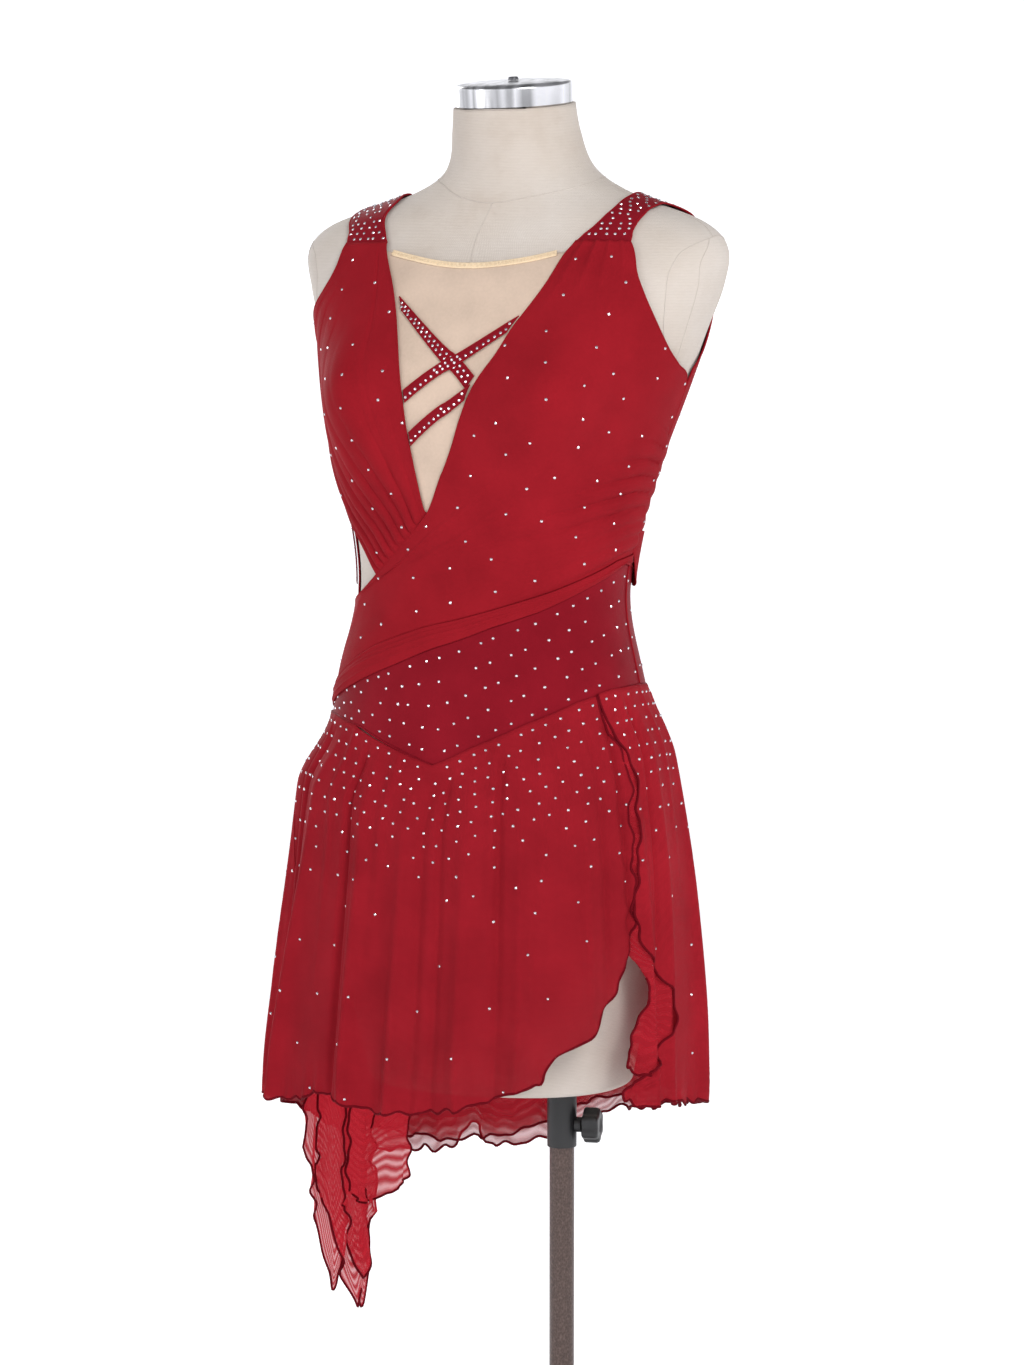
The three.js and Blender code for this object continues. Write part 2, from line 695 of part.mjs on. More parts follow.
function buildFronts() {
  const fronts = new THREE.Group();
  fronts.name = "fronts";
  fronts.add(formPanel("front_right", frontRight, [16, 15], LIFT.fronts, rightRelief, WALL, RED_JERSEY));
  const wrapCells = [WRAP_COLUMNS.length - 1, 21];
  fronts.add(
    formPanel("front_left_wrap", leftWrap, wrapCells, LIFT.fronts, wrapRelief, WALL, RED_JERSEY),
  );
  const foldTop = (angle) => lineAt(FOLD_LINE, 1, angle) - SEAM_GAP / 2;
  const foldFoot = (angle) => yokeTop(angle) + SEAM_GAP;
  const foldSizes = { rows: 4, lift: LIFT.fronts, wall: WALL, roll: 1.3 };
  fronts.add(formStrip("wrap_fold", WRAP_COLUMNS, foldTop, foldFoot, foldSizes, RED_JERSEY));
  const shifted = (rows, by, low) => rows.filter(([, z]) => z > low).map(([a, z]) => [a + by, z]);
  const bandTop = [
    [-21, 1341], [-15, 1337], [-7, 1332], [-0.5, 1330], [6, 1332], [12.5, 1335.5], [18.8, 1340],
  ];
  const insert = {
    top: [[-24.5, 1341], ...bandTop.slice(1, -1), [23, 1340]],
    left: [[-9.4, 1139], ...shifted(RIGHT_V, -1, 1150).slice(0, -1), [-24.5, 1341]],
    right: [[-3.2, 1139], ...shifted(LEFT_V, 1, 1150).slice(0, -2), [23, 1340]],
    bottom: [[-9.4, 1139], [-3.2, 1139]],
  };
  const flat = () => 0;
  fronts.add(formPanel("nude_insert", insert, [6, 11], LIFT.insert, flat, THIN_WALL, NUDE_MESH));
  const bandFoot = bandTop.map(([angle, z]) => [angle, z - BAND_HEIGHT]);
  const band = {
    top: bandTop,
    bottom: bandFoot,
    left: [bandFoot[0], bandTop[0]],
    right: [bandFoot.at(-1), bandTop.at(-1)],
  };
  fronts.add(formPanel("nude_neck_band", band, [12, 1], LIFT.band, flat, THIN_WALL, NUDE_ELASTIC));
  return fronts;
}

// Crossing straps as corner points: right end low and high, left end low and high.
const CROSS_STRAPS = {
  columns: ["letter", "rightLow", "rightHigh", "leftLow", "leftHigh", "lift"],
  rows: [
    ["a", [-15, 1292], [-16, 1302.5], [5.2, 1230], [6.9, 1239.5], 2.6],
    ["b", [-11.1, 1219], [-11.5, 1228], [13.2, 1274.5], [14.8, 1286.5], 4.0],
    ["c", [-9.6, 1185], [-10, 1195], [5.4, 1221.5], [6.5, 1233], 4.0],
  ],
};

function buildStraps() {
  const straps = new THREE.Group();
  straps.name = "straps";
  const flat = () => 0;
  for (const [letter, rightLow, rightHigh, leftLow, leftHigh, lift] of CROSS_STRAPS.rows) {
    const edges = {
      top: [rightHigh, leftHigh],
      bottom: [rightLow, leftLow],
      left: [rightLow, rightHigh],
      right: [leftLow, leftHigh],
    };
    straps.add(formPanel(`cross_strap_${letter}`, edges, [8, 1], lift, flat, THIN_WALL, DARK_SATIN));
  }
  const leftStrap = {
    inner: [
      [24.5, 1347.5], [28.5, 1354], [42, 1369.5], [66, 1382], [97, 1386], [125, 1375],
      [140, 1362], [149, 1347],
    ],
    outer: [
      [41, 1347], [44, 1356], [52, 1366], [67, 1374], [93, 1377], [118, 1366],
      [130, 1356], [136, 1347],
    ],
  };
  const rightStrap = {
    inner: [
      [-24.5, 1347.5], [-29, 1356.5], [-38, 1368.5], [-49, 1377.5], [-61, 1383.5], [-78, 1386.5],
      [-97, 1386.5], [-125, 1376], [-140, 1362], [-149, 1347],
    ],
    outer: [
      [-40, 1347], [-44.5, 1356.5], [-57, 1367.5], [-69, 1373.5], [-80, 1376.5], [-97, 1377],
      [-118, 1366], [-130, 1356], [-136, 1347],
    ],
  };
  const strapPlace = (edges, sign) => {
    const inner = pathThrough(edges.inner);
    const outer = pathThrough(edges.outer);
    return (u, v, out) => {
      const side = sign > 0 ? u : 1 - u;
      const a = inner(v);
      const b = outer(v);
      return onForm(mix(a[0], b[0], side), mix(a[1], b[1], side), LIFT.strap + out);
    };
  };
  const leftFlow = (u, v, out) => strapPlace(leftStrap, 1)(1 - v, u, out);
  const rightFlow = (u, v, out) => strapPlace(rightStrap, -1)(v, 1 - u, out);
  straps.add(clothWall("shoulder_strap_left", shares(18), shares(3), leftFlow, WALL, RED_JERSEY));
  straps.add(clothWall("shoulder_strap_right", shares(18), shares(3), rightFlow, WALL, RED_JERSEY));
  return straps;
}

// Back bodice: top and bottom heights at each angle round the back.
const BACK_TOP = [
  [94.6, 1226], [97, 1246], [108, 1264], [122, 1300], [132, 1334], [136, 1346.4], [149, 1346.4],
  [153, 1322], [162, 1284], [172, 1257], [180, 1250], [188, 1257], [198, 1284],
  [207, 1322], [211, 1346.4], [224, 1346.4], [228, 1334], [238, 1300], [252, 1264],
  [262, 1250], [267.2, 1236], [272.2, 1200], [281.2, 1160], [287.6, 1138],
];

function buildBack() {
  const back = new THREE.Group();
  back.name = "back";
  const angles = [
    ...BACK_TOP.map(([angle]) => angle), 115, 128, 142.5, 217.5, 233, 245, 277.5, 284.6, 286.3,
  ].sort((a, b) => a - b);
  const sizes = { rows: 11, lift: LIFT.back, wall: WALL, crowd: 1.6 };
  const topAt = (angle) => lineAt(BACK_TOP, 1, angle);
  const bottomAt = (angle) => {
    if (angle > 277.4) {
      return lineAt([[277.4, 978], [280.3, 1015], [287.6, 1068]], 1, angle);
    }
    return yokeTop(angle) + SEAM_GAP;
  };
  back.add(formStrip("back_bodice", angles, topAt, bottomAt, sizes, RED_JERSEY));
  const flap = {
    top: [[96, 1114], [110, 1113], [126, 1106]],
    bottom: [[96, 1094], [112, 1060], [126, 1074]],
    left: [[96, 1094], [96, 1114]],
    right: [[126, 1074], [126, 1106]],
  };
  const drape = (u, v) => 5 * Math.sin(Math.PI * Math.min(u * 1.15, 1)) * (1 - 0.35 * v);
  back.add(formPanel("side_drape", flap, [8, 5], LIFT.back + WALL + 1.2, drape, THIN_WALL, RED_JERSEY));
  const edge = {
    top: [[-74.6, 1138], [-72.2, 1139]],
    bottom: [[-74.6, 1064], [-72.2, 1067]],
    left: [[-74.6, 1064], [-74.6, 1100], [-74.6, 1138]],
    right: [[-72.2, 1067], [-72.2, 1100], [-72.2, 1139]],
  };
  const flat = () => 0;
  back.add(formPanel("cutout_strap", edge, [1, 8], LIFT.back + WALL + 0.8, flat, THIN_WALL, DARK_SATIN));
  return back;
}

function buildYoke() {
  const yoke = new THREE.Group();
  yoke.name = "yoke";
  const topAt = (angle) => yokeTop(angle);
  const bottomAt = (angle) => yokeBottom(angle);
  const sizes = { rows: 4, lift: LIFT.yoke, wall: WALL };
  const frontAngles = WRAP_COLUMNS;
  const backAngles = [
    94.4, 101, 110, 120, 130, 140, 150, 160, 170, 180, 190, 200, 210, 220, 230, 240, 250, 260,
    269, 277.6,
  ];
  yoke.add(formStrip("yoke_front", frontAngles, topAt, bottomAt, sizes, DARK_SATIN));
  yoke.add(formStrip("yoke_back", backAngles, topAt, bottomAt, sizes, DARK_SATIN));
  return yoke;
}

// ------------------------------------------------------------- the skirt

// Panel edges as [z, angle], hems as [angle, z].
const EDGE_RIGHT_FRONT = [[620, -56], [700, -55], [820, -58], [903, -66], [960, -70]];
const EDGE_SLIT_FRONT = [
  [655, 29], [665, 34], [688, 39.5], [697, 45], [708, 50], [719, 53], [736, 57], [748, 59.5],
  [763, 62.5], [781, 64.5], [800, 65.5], [850, 66], [885, 66], [906, 67.5], [929, 66.5], [952, 63.5],
  [980, 62],
];
const EDGE_SLIT_LEFT = [
  [640, 57], [658, 62], [668, 68], [683, 74], [705, 80], [723, 82], [740, 80], [755, 74.5],
  [771, 69.5], [797, 66.2], [830, 67], [857, 68.5], [885, 69], [905, 71], [924, 69.5], [950, 65.5],
  [980, 63],
];
const EDGE_LEFT_BACK = [[560, 130], [980, 124]];
const EDGE_BACK_RIGHT = [[520, 250], [980, 256]];
const BACK_HEM = [
  [130, 618], [150, 604], [168, 591], [174, 577], [189, 557], [199, 556], [201, 567],
  [206, 566], [208, 553], [216, 548], [222, 550], [231, 553], [240, 562], [250, 584],
];

const skirtFront = {
  right: EDGE_RIGHT_FRONT,
  left: EDGE_SLIT_FRONT,
  hem: [
    [-56, 634], [-50, 633], [-36, 638], [-26, 647], [-16, 644], [-8, 639], [0, 638],
    [12, 643], [24, 652], [34, 668],
  ],
};
const skirtLeft = {
  right: EDGE_SLIT_LEFT,
  left: EDGE_LEFT_BACK.map(([z, angle]) => [z, angle - 0.25]),
  hem: [[62, 655], [69, 646], [74, 643], [80, 645], [86, 642], [104, 634], [130, 618]],
};
const skirtBack = {
  right: EDGE_LEFT_BACK,
  left: EDGE_BACK_RIGHT,
  hem: BACK_HEM,
};
const skirtRight = {
  right: EDGE_BACK_RIGHT.map(([z, angle]) => [z, angle - 359.6]),
  left: EDGE_RIGHT_FRONT.map(([z, angle]) => [z, angle - 0.7]),
  hem: [[-110, 586], [-96, 604], [-80, 622], [-67, 630], [-56, 634]],
};
const skirtBackUnder = {
  right: [
    [640, 53], [676, 58], [690, 65], [700, 69], [718, 74], [741, 76], [756, 70], [771, 66.5],
    [797, 68], [830, 70], [980, 70],
  ],
  left: EDGE_BACK_RIGHT,
  hem: [[58, 676], [72, 662], [86, 656], [130, 632], [168, 602], [189, 568], [216, 560], [250, 600]],
  top: (angle) => yokeBottom(angle) - 9,
};

// Handkerchief points that hang from inside the right and back panels.
const TAIL_TOP = 660;
const TAILS = [
  {
    name: "tail_left_point",
    lift: -6.6,
    hem: [
      [-116, 505], [-115, 485], [-113.5, 461], [-112, 444], [-110.5, 430], [-109, 449],
      [-107.6, 468], [-106.6, 491], [-104, 518], [-99.5, 548], [-97.8, 562], [-97, 590],
    ],
  },
  {
    name: "tail_middle_point",
    lift: -8.9,
    hem: [
      [-124.2, 478], [-123.5, 450], [-122.8, 426], [-121.7, 411], [-119.5, 430], [-117.3, 415],
      [-115.3, 437], [-113.5, 452], [-110.5, 476], [-108.5, 503], [-105.8, 524],
    ],
  },
  {
    name: "tail_right_point",
    lift: -10.45,
    hem: [
      [-126.4, 520], [-125.8, 490], [-124.5, 470], [-122.5, 450], [-120.5, 439], [-117.8, 454],
      [-115.8, 475], [-113.5, 502],
    ],
  },
  {
    name: "tail_back_fold",
    lift: -12,
    hem: [
      [-137.5, 530], [-133.3, 518], [-129, 512], [-124.5, 505], [-118.8, 510], [-115.3, 520],
    ],
  },
];

function buildSkirt() {
  const skirt = new THREE.Group();
  skirt.name = "skirt";
  skirt.add(skirtPanel("skirt_front", skirtFront, [26, 10], 0, THIN_WALL, RED_MESH));
  skirt.add(skirtPanel("skirt_left", skirtLeft, [14, 17], 0, THIN_WALL, RED_MESH));
  skirt.add(skirtPanel("skirt_back", skirtBack, [26, 9], 0, THIN_WALL, RED_MESH));
  skirt.add(skirtPanel("skirt_right", skirtRight, [12, 8], 0, THIN_WALL, RED_MESH));
  skirt.add(skirtPanel("skirt_back_under", skirtBackUnder, [28, 9], -5, THIN_WALL, RED_MESH));
  for (const tail of TAILS) {
    const angles = [];
    for (const [angle] of tail.hem) {
      angles.push(angle);
    }
    const place = (angle, v, out) => {
      const z = mix(lineAt(tail.hem, 1, angle), TAIL_TOP, v);
      return onSkirt(angle, z, tail.lift + out);
    };
    skirt.add(clothWall(tail.name, angles, shares(5), place, THIN_WALL, RED_MESH));
  }
  return skirt;
}

// ---------------------------------------------------------------- whole

const dress = new THREE.Group();
dress.name = "dress";
dress.add(buildFronts());
dress.add(buildStraps());
dress.add(buildBack());
dress.add(buildYoke());
dress.add(buildSkirt());

const form = new THREE.Group();
form.name = "form";
form.add(buildTorso());
form.add(buildCap());
form.add(buildCapScrew());
form.add(buildCollar());
form.add(buildKnob());
form.add(dress);

const group = new THREE.Group();
group.name = "dress_on_form";
group.add(buildStand());
group.add(form);

export default group;
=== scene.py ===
import math

import bpy
import numpy as np
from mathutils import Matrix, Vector


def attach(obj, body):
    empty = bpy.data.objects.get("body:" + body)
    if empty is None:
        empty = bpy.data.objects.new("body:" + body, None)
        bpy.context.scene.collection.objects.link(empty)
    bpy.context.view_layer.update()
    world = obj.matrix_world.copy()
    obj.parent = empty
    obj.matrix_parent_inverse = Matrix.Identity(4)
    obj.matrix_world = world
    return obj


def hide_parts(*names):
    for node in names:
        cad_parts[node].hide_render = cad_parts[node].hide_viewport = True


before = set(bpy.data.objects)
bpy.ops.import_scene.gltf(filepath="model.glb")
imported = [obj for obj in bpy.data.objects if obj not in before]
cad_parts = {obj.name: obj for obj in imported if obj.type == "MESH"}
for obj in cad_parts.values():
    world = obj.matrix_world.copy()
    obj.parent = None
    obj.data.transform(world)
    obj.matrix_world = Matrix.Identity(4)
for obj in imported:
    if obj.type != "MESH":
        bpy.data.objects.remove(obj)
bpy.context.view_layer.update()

MM = 0.001
BODY = "form"

# ------------------------------------------------------------------ sizes
# Millimetres in the solids' frame. Angles are in degrees round the form, from straight ahead
# to the wearer's left.

FORM_X, FORM_Y = -52.0, -22.0
# The form's sections and those of the hanging skirt: z, half width, depth in front, depth
# behind, shift x, shift y, squareness.
FORM_ROWS = np.array([
    [640, 111, 88, 90, -4, 20, 2.2],
    [700, 124, 97, 102, -6, 20, 2.2],
    [780, 140, 106, 113, -6, 19, 2.2],
    [865, 147, 110, 117, -5, 17, 2.2],
    [930, 139.5, 106, 108, -6, 12, 2.2],
    [990, 127, 98, 94, -5, 5, 2.2],
    [1055, 114, 87, 84, -1, 0, 2.15],
    [1110, 119.5, 92, 88, 2, 0, 2.15],
    [1170, 136.5, 104, 97, 3, 2, 2.2],
    [1225, 151.5, 112, 104, 8.5, 4, 2.25],
    [1275, 165.5, 104, 106, 12, 8, 2.3],
    [1315, 180, 86, 98, 12.5, 12, 2.4],
    [1345, 185, 70, 84, 11, 16, 2.3],
    [1365, 166, 62, 74, 11, 18, 2.0],
    [1385, 108, 56, 64, 15, 19, 1.8],
    [1400, 75, 53, 59, 16.5, 19, 1.9],
    [1415, 60, 52, 55, 15.5, 17, 2.0],
    [1440, 53.5, 52, 52, 14, 13, 2.0],
    [1462, 50.5, 50.5, 50.5, 14, 9, 2.0],
])
SKIRT_ROWS = np.array([
    [420, 187, 148, 162, -25, 24, 2.1],
    [560, 187, 146, 158, -24, 23, 2.1],
    [665, 182, 142, 152, -22, 22, 2.1],
    [712, 179.5, 139, 148, -20, 22, 2.1],
    [770, 176, 133, 142, -18, 21, 2.1],
    [836, 170.5, 126, 135, -15.5, 19, 2.1],
    [904, 162, 118, 126, -13.5, 15, 2.15],
    [950, 153, 111, 115, -11.5, 12, 2.2],
    [1000, 136, 102, 102, -5, 5, 2.2],
])
# The drop over which the skirt leaves the form for its own sections.
SKIRT_SPRING = 60
CUP = dict(angle=33, z=1222, depth=24, spread_angle=17, spread_z=48)
FORM_BOTTOM, FORM_TOP, BOTTOM_ROUND = 646.0, 1461.0, 5.0
NECK_X, NECK_Y = FORM_X + 14, FORM_Y + 9
CAP = dict(radius=48.5, height=18.0, round=3.0, z=1461.4, lean=7.0)
POLE = dict(radius=10.5, top=950.0, bottom=8.4)
BASE = dict(radius=190.0, height=8.0, round=2.4)
RUNNING_GAP = 0.4
COLLAR = dict(radius=12.4, length=53.5, edge=1.0, boss=6.4, reach=17.4)
KNOB = dict(angle=12.0, height=611.0, radius=15.0, waist=12.6, lobes=6, width=14.0, grip=19.0,
            stem=4.5)
LIFT = dict(insert=1.1, band=2.5, fronts=2.9, back=1.8, strap=1.8, yoke=1.8, skirt=3.6)
# The solids' wall, and the thinner cloth here that keeps inside it.
WALL = 1.4
CLOTH = WALL - 0.3
HANGING_CLOTH = 0.7

# Seam lines round the dress: angle, z.
YOKE_TOP = np.array([
    [-82, 956], [-68.5, 963], [-39.5, 986], [-18, 1004], [-1.5, 1020], [18.5, 1037],
    [38.5, 1050], [61.5, 1068], [88, 1087], [110, 1079], [140, 1060], [170, 1038],
    [200, 1012], [230, 988], [260, 966], [278, 956],
], float)
YOKE_BOTTOM = np.array([
    [-82, 950], [-68.5, 956.5], [-50, 956], [-31.5, 950], [-13, 934], [-0.5, 922],
    [12, 937], [34, 957.5], [57, 975], [78, 984], [92, 985], [110, 983], [140, 977],
    [170, 972], [200, 965], [230, 958], [260, 952], [278, 950],
], float)
FOLD_LINE = np.array([
    [-82, 975], [-68, 980], [-50, 998], [-30, 1018], [-8, 1034.5], [9.5, 1045],
    [29, 1057], [44, 1066], [61, 1077.5], [80, 1090], [94, 1094],
], float)
# Hanging folds: angle at the seam and at the hem, half width in degrees, height. They grow
# over the reach, and a crease runs beside each.
FOLD_REACH = 330
CREASE_SHARE, CREASE_HALF = 0.42, 1.3
SKIRT_FOLDS = [
    (-62, -64, 4.5, 7), (-42, -50, 6, 11), (-20, -17, 5, 12), (-6, -4, 4, 8),
    (11, 13, 5.5, 10), (27, 29, 5, 8), (47, 50, 5, 6), (68, 72, 5, 9), (84, 80, 4.5, 7),
    (101, 104, 6, 10), (119, 123, 5, 8), (138, 141, 6, 11), (158, 162, 5.5, 9),
    (176, 183, 6, 12), (199, 203, 5, 10), (219, 217, 6, 11), (237, 235, 5, 9),
    (255, 254, 5, 8), (271, 268, 5, 9), (285, 283, 4.5, 8),
]
# Smaller gathers that fade before the hem: angle, half width, height, length.
SKIRT_GATHERS = [
    (-74, 2.0, 1.6, 150), (-55, 2.2, 1.8, 170), (-50, 1.6, 1.2, 110), (-34, 1.8, 1.8, 190),
    (-27, 1.5, 1.3, 120), (-13, 1.8, 1.9, 210), (-1, 1.5, 1.2, 130), (5, 1.7, 1.6, 190),
    (19, 1.9, 1.7, 160), (34, 1.6, 1.5, 200), (41, 1.8, 1.5, 140), (54, 1.6, 1.2, 120),
    (75, 1.8, 1.7, 180), (92, 1.7, 1.6, 150), (110, 2.0, 1.8, 190), (129, 1.8, 1.5, 160),
    (149, 1.9, 1.8, 200), (168, 1.8, 1.6, 170), (188, 2.0, 1.8, 190), (209, 1.8, 1.6, 150),
    (228, 1.9, 1.8, 200), (246, 1.8, 1.5, 170), (262, 1.7, 1.5, 160), (278, 1.8, 1.4, 140),
]

# Edges of the fronts and the back: angle, z.
RIGHT_V = [
    (-7.8, 1131), (-9.5, 1168), (-11, 1198), (-12, 1222), (-13.5, 1245), (-15.5, 1272),
    (-18, 1306), (-21, 1328), (-24.5, 1347),
]
LEFT_V = [
    (-6.5, 1129), (-3.5, 1141), (-0.5, 1159), (2.5, 1182), (4.5, 1204), (6.5, 1224),
    (8.5, 1238), (12, 1257), (14, 1275), (16, 1291), (18.5, 1314), (21, 1335), (24.5, 1347),
]
WRAP_DIAGONAL = [
    (-74, 1045), (-66, 1052), (-50, 1062), (-37, 1076), (-23, 1097), (-14.3, 1111.5),
    (-6.5, 1129),
]
BACK_TOP = np.array([
    [94.6, 1226], [97, 1246], [108, 1264], [122, 1300], [132, 1334], [136, 1346.4],
    [149, 1346.4], [153, 1322], [162, 1284], [172, 1257], [180, 1250], [188, 1257],
    [198, 1284], [207, 1322], [211, 1346.4], [224, 1346.4], [228, 1334], [238, 1300],
    [252, 1264], [262, 1250], [267.2, 1236], [272.2, 1200], [281.2, 1160], [287.6, 1138],
], float)

# ----------------------------------------------------------------- curves


def smooth_at(rows, column, x):
    """A smooth value from a table, by its first column."""
    rows = np.asarray(rows, float)
    keys, values = rows[:, 0], rows[:, column]
    slopes = np.empty(len(keys))
    slopes[1:-1] = (values[2:] - values[:-2]) / (keys[2:] - keys[:-2])
    slopes[0] = (values[1] - values[0]) / (keys[1] - keys[0])
    slopes[-1] = (values[-1] - values[-2]) / (keys[-1] - keys[-2])
    x = np.asarray(x, float)
    k = np.clip(np.searchsorted(keys, x, side="left") - 1, 0, len(keys) - 2)
    span = keys[k + 1] - keys[k]
    t = np.clip((x - keys[k]) / span, 0, 1)
    return ((2 * t**3 - 3 * t**2 + 1) * values[k] + (t**3 - 2 * t**2 + t) * span * slopes[k]
            + (3 * t**2 - 2 * t**3) * values[k + 1] + (t**3 - t**2) * span * slopes[k + 1])


def line_at(rows, x):
    rows = np.asarray(rows, float)
    return np.interp(x, rows[:, 0], rows[:, 1])


def path_through(points):
    """A smooth path through (angle, z) points; the share runs 0 to 1 along it."""
    p = np.asarray(points, float)
    steps = np.hypot(np.diff(p[:, 0]) * 2.2, np.diff(p[:, 1]))
    share = np.concatenate([[0], np.cumsum(steps)]) / steps.sum()
    rows = np.column_stack([share, p])
    return lambda t: (smooth_at(rows, 1, t), smooth_at(rows, 2, t))


def mix(a, b, t):
    return a + (b - a) * t


def ease(t):
    s = np.clip(t, 0, 1)
    return s * s * (3 - 2 * s)


def mound(distance, width):
    return np.exp(-((distance / width) ** 2))


def arch(distance, half):
    """A round-topped ridge; two side by side leave a sharp crease between them."""
    return np.sqrt(np.clip(1 - (distance / half) ** 2, 0, 1))


def ripple(x, y, seed, count=6):
    """A soft uneven surface between -1 and 1, the same every run."""
    rng = np.random.default_rng(seed)
    total = 0
    for _ in range(count):
        turn = rng.uniform(0, 2 * math.pi)
        pace = rng.uniform(0.5, 2.0)
        total = total + np.sin(pace * (x * math.cos(turn) + y * math.sin(turn))
                               + rng.uniform(0, 6.28))
    return total / count


# --------------------------------------------------------------- surfaces


def section_point(rows, angle, z):
    """A point on a rounded section, with its own depth in front and behind."""
    a = np.radians(angle)
    sine, cosine = np.sin(a), np.cos(a)
    power = 2 / smooth_at(rows, 6, z)
    depth = np.where(cosine >= 0, smooth_at(rows, 2, z), smooth_at(rows, 3, z))
    x = smooth_at(rows, 1, z) * np.sign(sine) * np.abs(sine) ** power
    y = -depth * np.sign(cosine) * np.abs(cosine) ** power
    return np.stack([FORM_X + smooth_at(rows, 4, z) + x,
                     FORM_Y + smooth_at(rows, 5, z) + y, z + 0 * x], -1)


def form_point(angle, z):
    """The form's surface: its section with the two cups of the bust."""
    angle, z = np.broadcast_arrays(np.asarray(angle, float), np.asarray(z, float))
    point = section_point(FORM_ROWS, angle, z)
    turn = (angle + 180) % 360 - 180
    rise = 0
    for side in (-1, 1):
        across = (turn - side * CUP["angle"]) / CUP["spread_angle"]
        along = (z - CUP["z"]) / CUP["spread_z"]
        rise = rise + CUP["depth"] * np.exp(-across**2 - along**2)
    a = np.radians(turn)
    point[..., 0] += rise * np.sin(a) * 0.5
    point[..., 1] -= rise * np.sqrt(np.maximum(np.cos(a), 0))
    return point


def form_out(angle, z):
    """The form's outward normal."""
    across = form_point(angle + 0.6, z) - form_point(angle - 0.6, z)
    along = form_point(angle, z + 1) - form_point(angle, z - 1)
    out = np.cross(across, along)
    return out / np.linalg.norm(out, axis=-1, keepdims=True)


def level_out(across):
    """The level direction that points outward beside a run round the form."""
    out = np.stack([across[..., 1], -across[..., 0], 0 * across[..., 2]], -1)
    return out / np.maximum(np.linalg.norm(out, axis=-1, keepdims=True), 1e-9)


def on_form(angle, z, lift):
    lift = np.asarray(lift, float)[..., None]
    return form_point(angle, z) + form_out(angle, z) * lift


def turned(angle):
    """The angle as the seam lines have it, from -82 at the right side to 278."""
    return (np.asarray(angle, float) + 82) % 360 - 82


def yoke_top(angle):
    return line_at(YOKE_TOP, turned(angle))


def yoke_bottom(angle):
    return line_at(YOKE_BOTTOM, turned(angle))


def skirt_folds(angle, drop):
    """How far the folds stand out of the skirt, at a drop below the yoke's seam."""
    grown = ease(drop / FOLD_REACH) * 0.85 + 0.15 * ease(drop / 40)
    creased = ease(drop / 30) * (1 - 0.45 * ease((drop - 150) / 200))
    height = 0
    for k, (top, hem, width, peak) in enumerate(SKIRT_FOLDS):
        centre = mix(top, hem, np.minimum(drop / 320, 1))
        distance = (angle - centre + 180) % 360 - 180
        crest = 0.75 * mound(distance, width * 0.8) + 0.6 * mound(distance, width * 0.34)
        crease = mound(distance + (1.25 if k % 3 else -1.25) * width, CREASE_HALF)
        height = height + peak * (grown * crest - CREASE_SHARE * creased * crease)
    for centre, width, peak, length in SKIRT_GATHERS:
        distance = (angle - centre + 180) % 360 - 180
        grown = ease(drop / 9) * (1 - ease((drop - 30) / (length * 1.3)))
        height = height + 0.95 * peak * grown * mound(distance, width * 0.8)
    return height


def skirt_point(angle, z):
    """The skirt without its folds: from the form at the seam out to its own sections."""
    drop = yoke_bottom(angle) - z
    clear = section_point(SKIRT_ROWS, angle, z)
    near = on_form(angle, np.maximum(z, 650), LIFT["skirt"])
    near[..., 2] = z
    return mix(near, clear, ease(drop / SKIRT_SPRING)[..., None])


def on_skirt(angle, z, lift):
    """A point on the folded skirt; an inner layer draws close to the outer one at the seam."""
    angle, z = np.broadcast_arrays(np.asarray(angle, float), np.asarray(z, float))
    drop = np.maximum(yoke_bottom(angle) - z, 0)
    out = level_out(skirt_point(angle + 0.8, z) - skirt_point(angle - 0.8, z))
    spread = np.where(lift < 0, mix(0.38, 1, ease((drop - 5) / 110)), 1)
    return skirt_point(angle, z) + out * (lift * spread + skirt_folds(angle, drop))[..., None]


# ----------------------------------------------------------------- meshes


def new_object(name, verts, faces, material, uvs=None, smooth=True, body=BODY,
               replaces=()):
    mesh = bpy.data.meshes.new(name)
    mesh.from_pydata(verts.tolist(), [],
                     faces.tolist() if isinstance(faces, np.ndarray) else faces)
    mesh.update()
    if uvs is not None:
        layer = mesh.uv_layers.new(name="cloth")
        index = np.empty(len(mesh.loops), int)
        mesh.loops.foreach_get("vertex_index", index)
        layer.data.foreach_set("uv", np.asarray(uvs, float)[index].ravel())
    if smooth:
        mesh.shade_smooth()
    mesh.materials.append(material)
    item = bpy.data.objects.new(name, mesh)
    bpy.context.scene.collection.objects.link(item)
    if body:
        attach(item, body)
    if replaces:
        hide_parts(*replaces)
    return item


def quads(rows, columns, start=0, flip=False, closed=False):
    """Four-sided faces over a grid; closed joins its last column to its first."""
    r = np.arange(rows - 1)[:, None]
    c = np.arange(columns if closed else columns - 1)[None, :]
    n = (c + 1) % columns
    a, b = r * columns + c, r * columns + n
    face = np.stack([a, b, b + columns, a + columns], -1).reshape(-1, 4) + start
    return face[:, ::-1] if flip else face


def loop_faces(rows, columns):
    """Faces of a grid that is closed both ways."""
    last = (rows - 1) * columns
    faces = quads(rows, columns, closed=True).tolist()
    for k in range(columns):
        n = (k + 1) % columns
        faces.append([last + k, last + n, n, k])
    return faces


def capped_faces(rows, columns):
    """Faces of a grid that is closed one way, with a flat cap at both ends."""
    count = rows * columns
    faces = quads(rows, columns, closed=True).tolist()
    faces.append(list(range(columns))[::-1])
    faces.append(list(range(count - columns, count)))
    return faces


def full_turn(count):
    return np.arange(count) * 2 * math.pi / count


def turned_rings(outline, segments):
    """Rings of points round the Z axis from [radius, z] points."""
    o = np.asarray(outline, float)
    a = full_turn(segments)
    return np.stack([o[:, None, 0] * np.cos(a), o[:, None, 0] * np.sin(a),
                     o[:, None, 1] + 0 * a], -1).reshape(-1, 3)


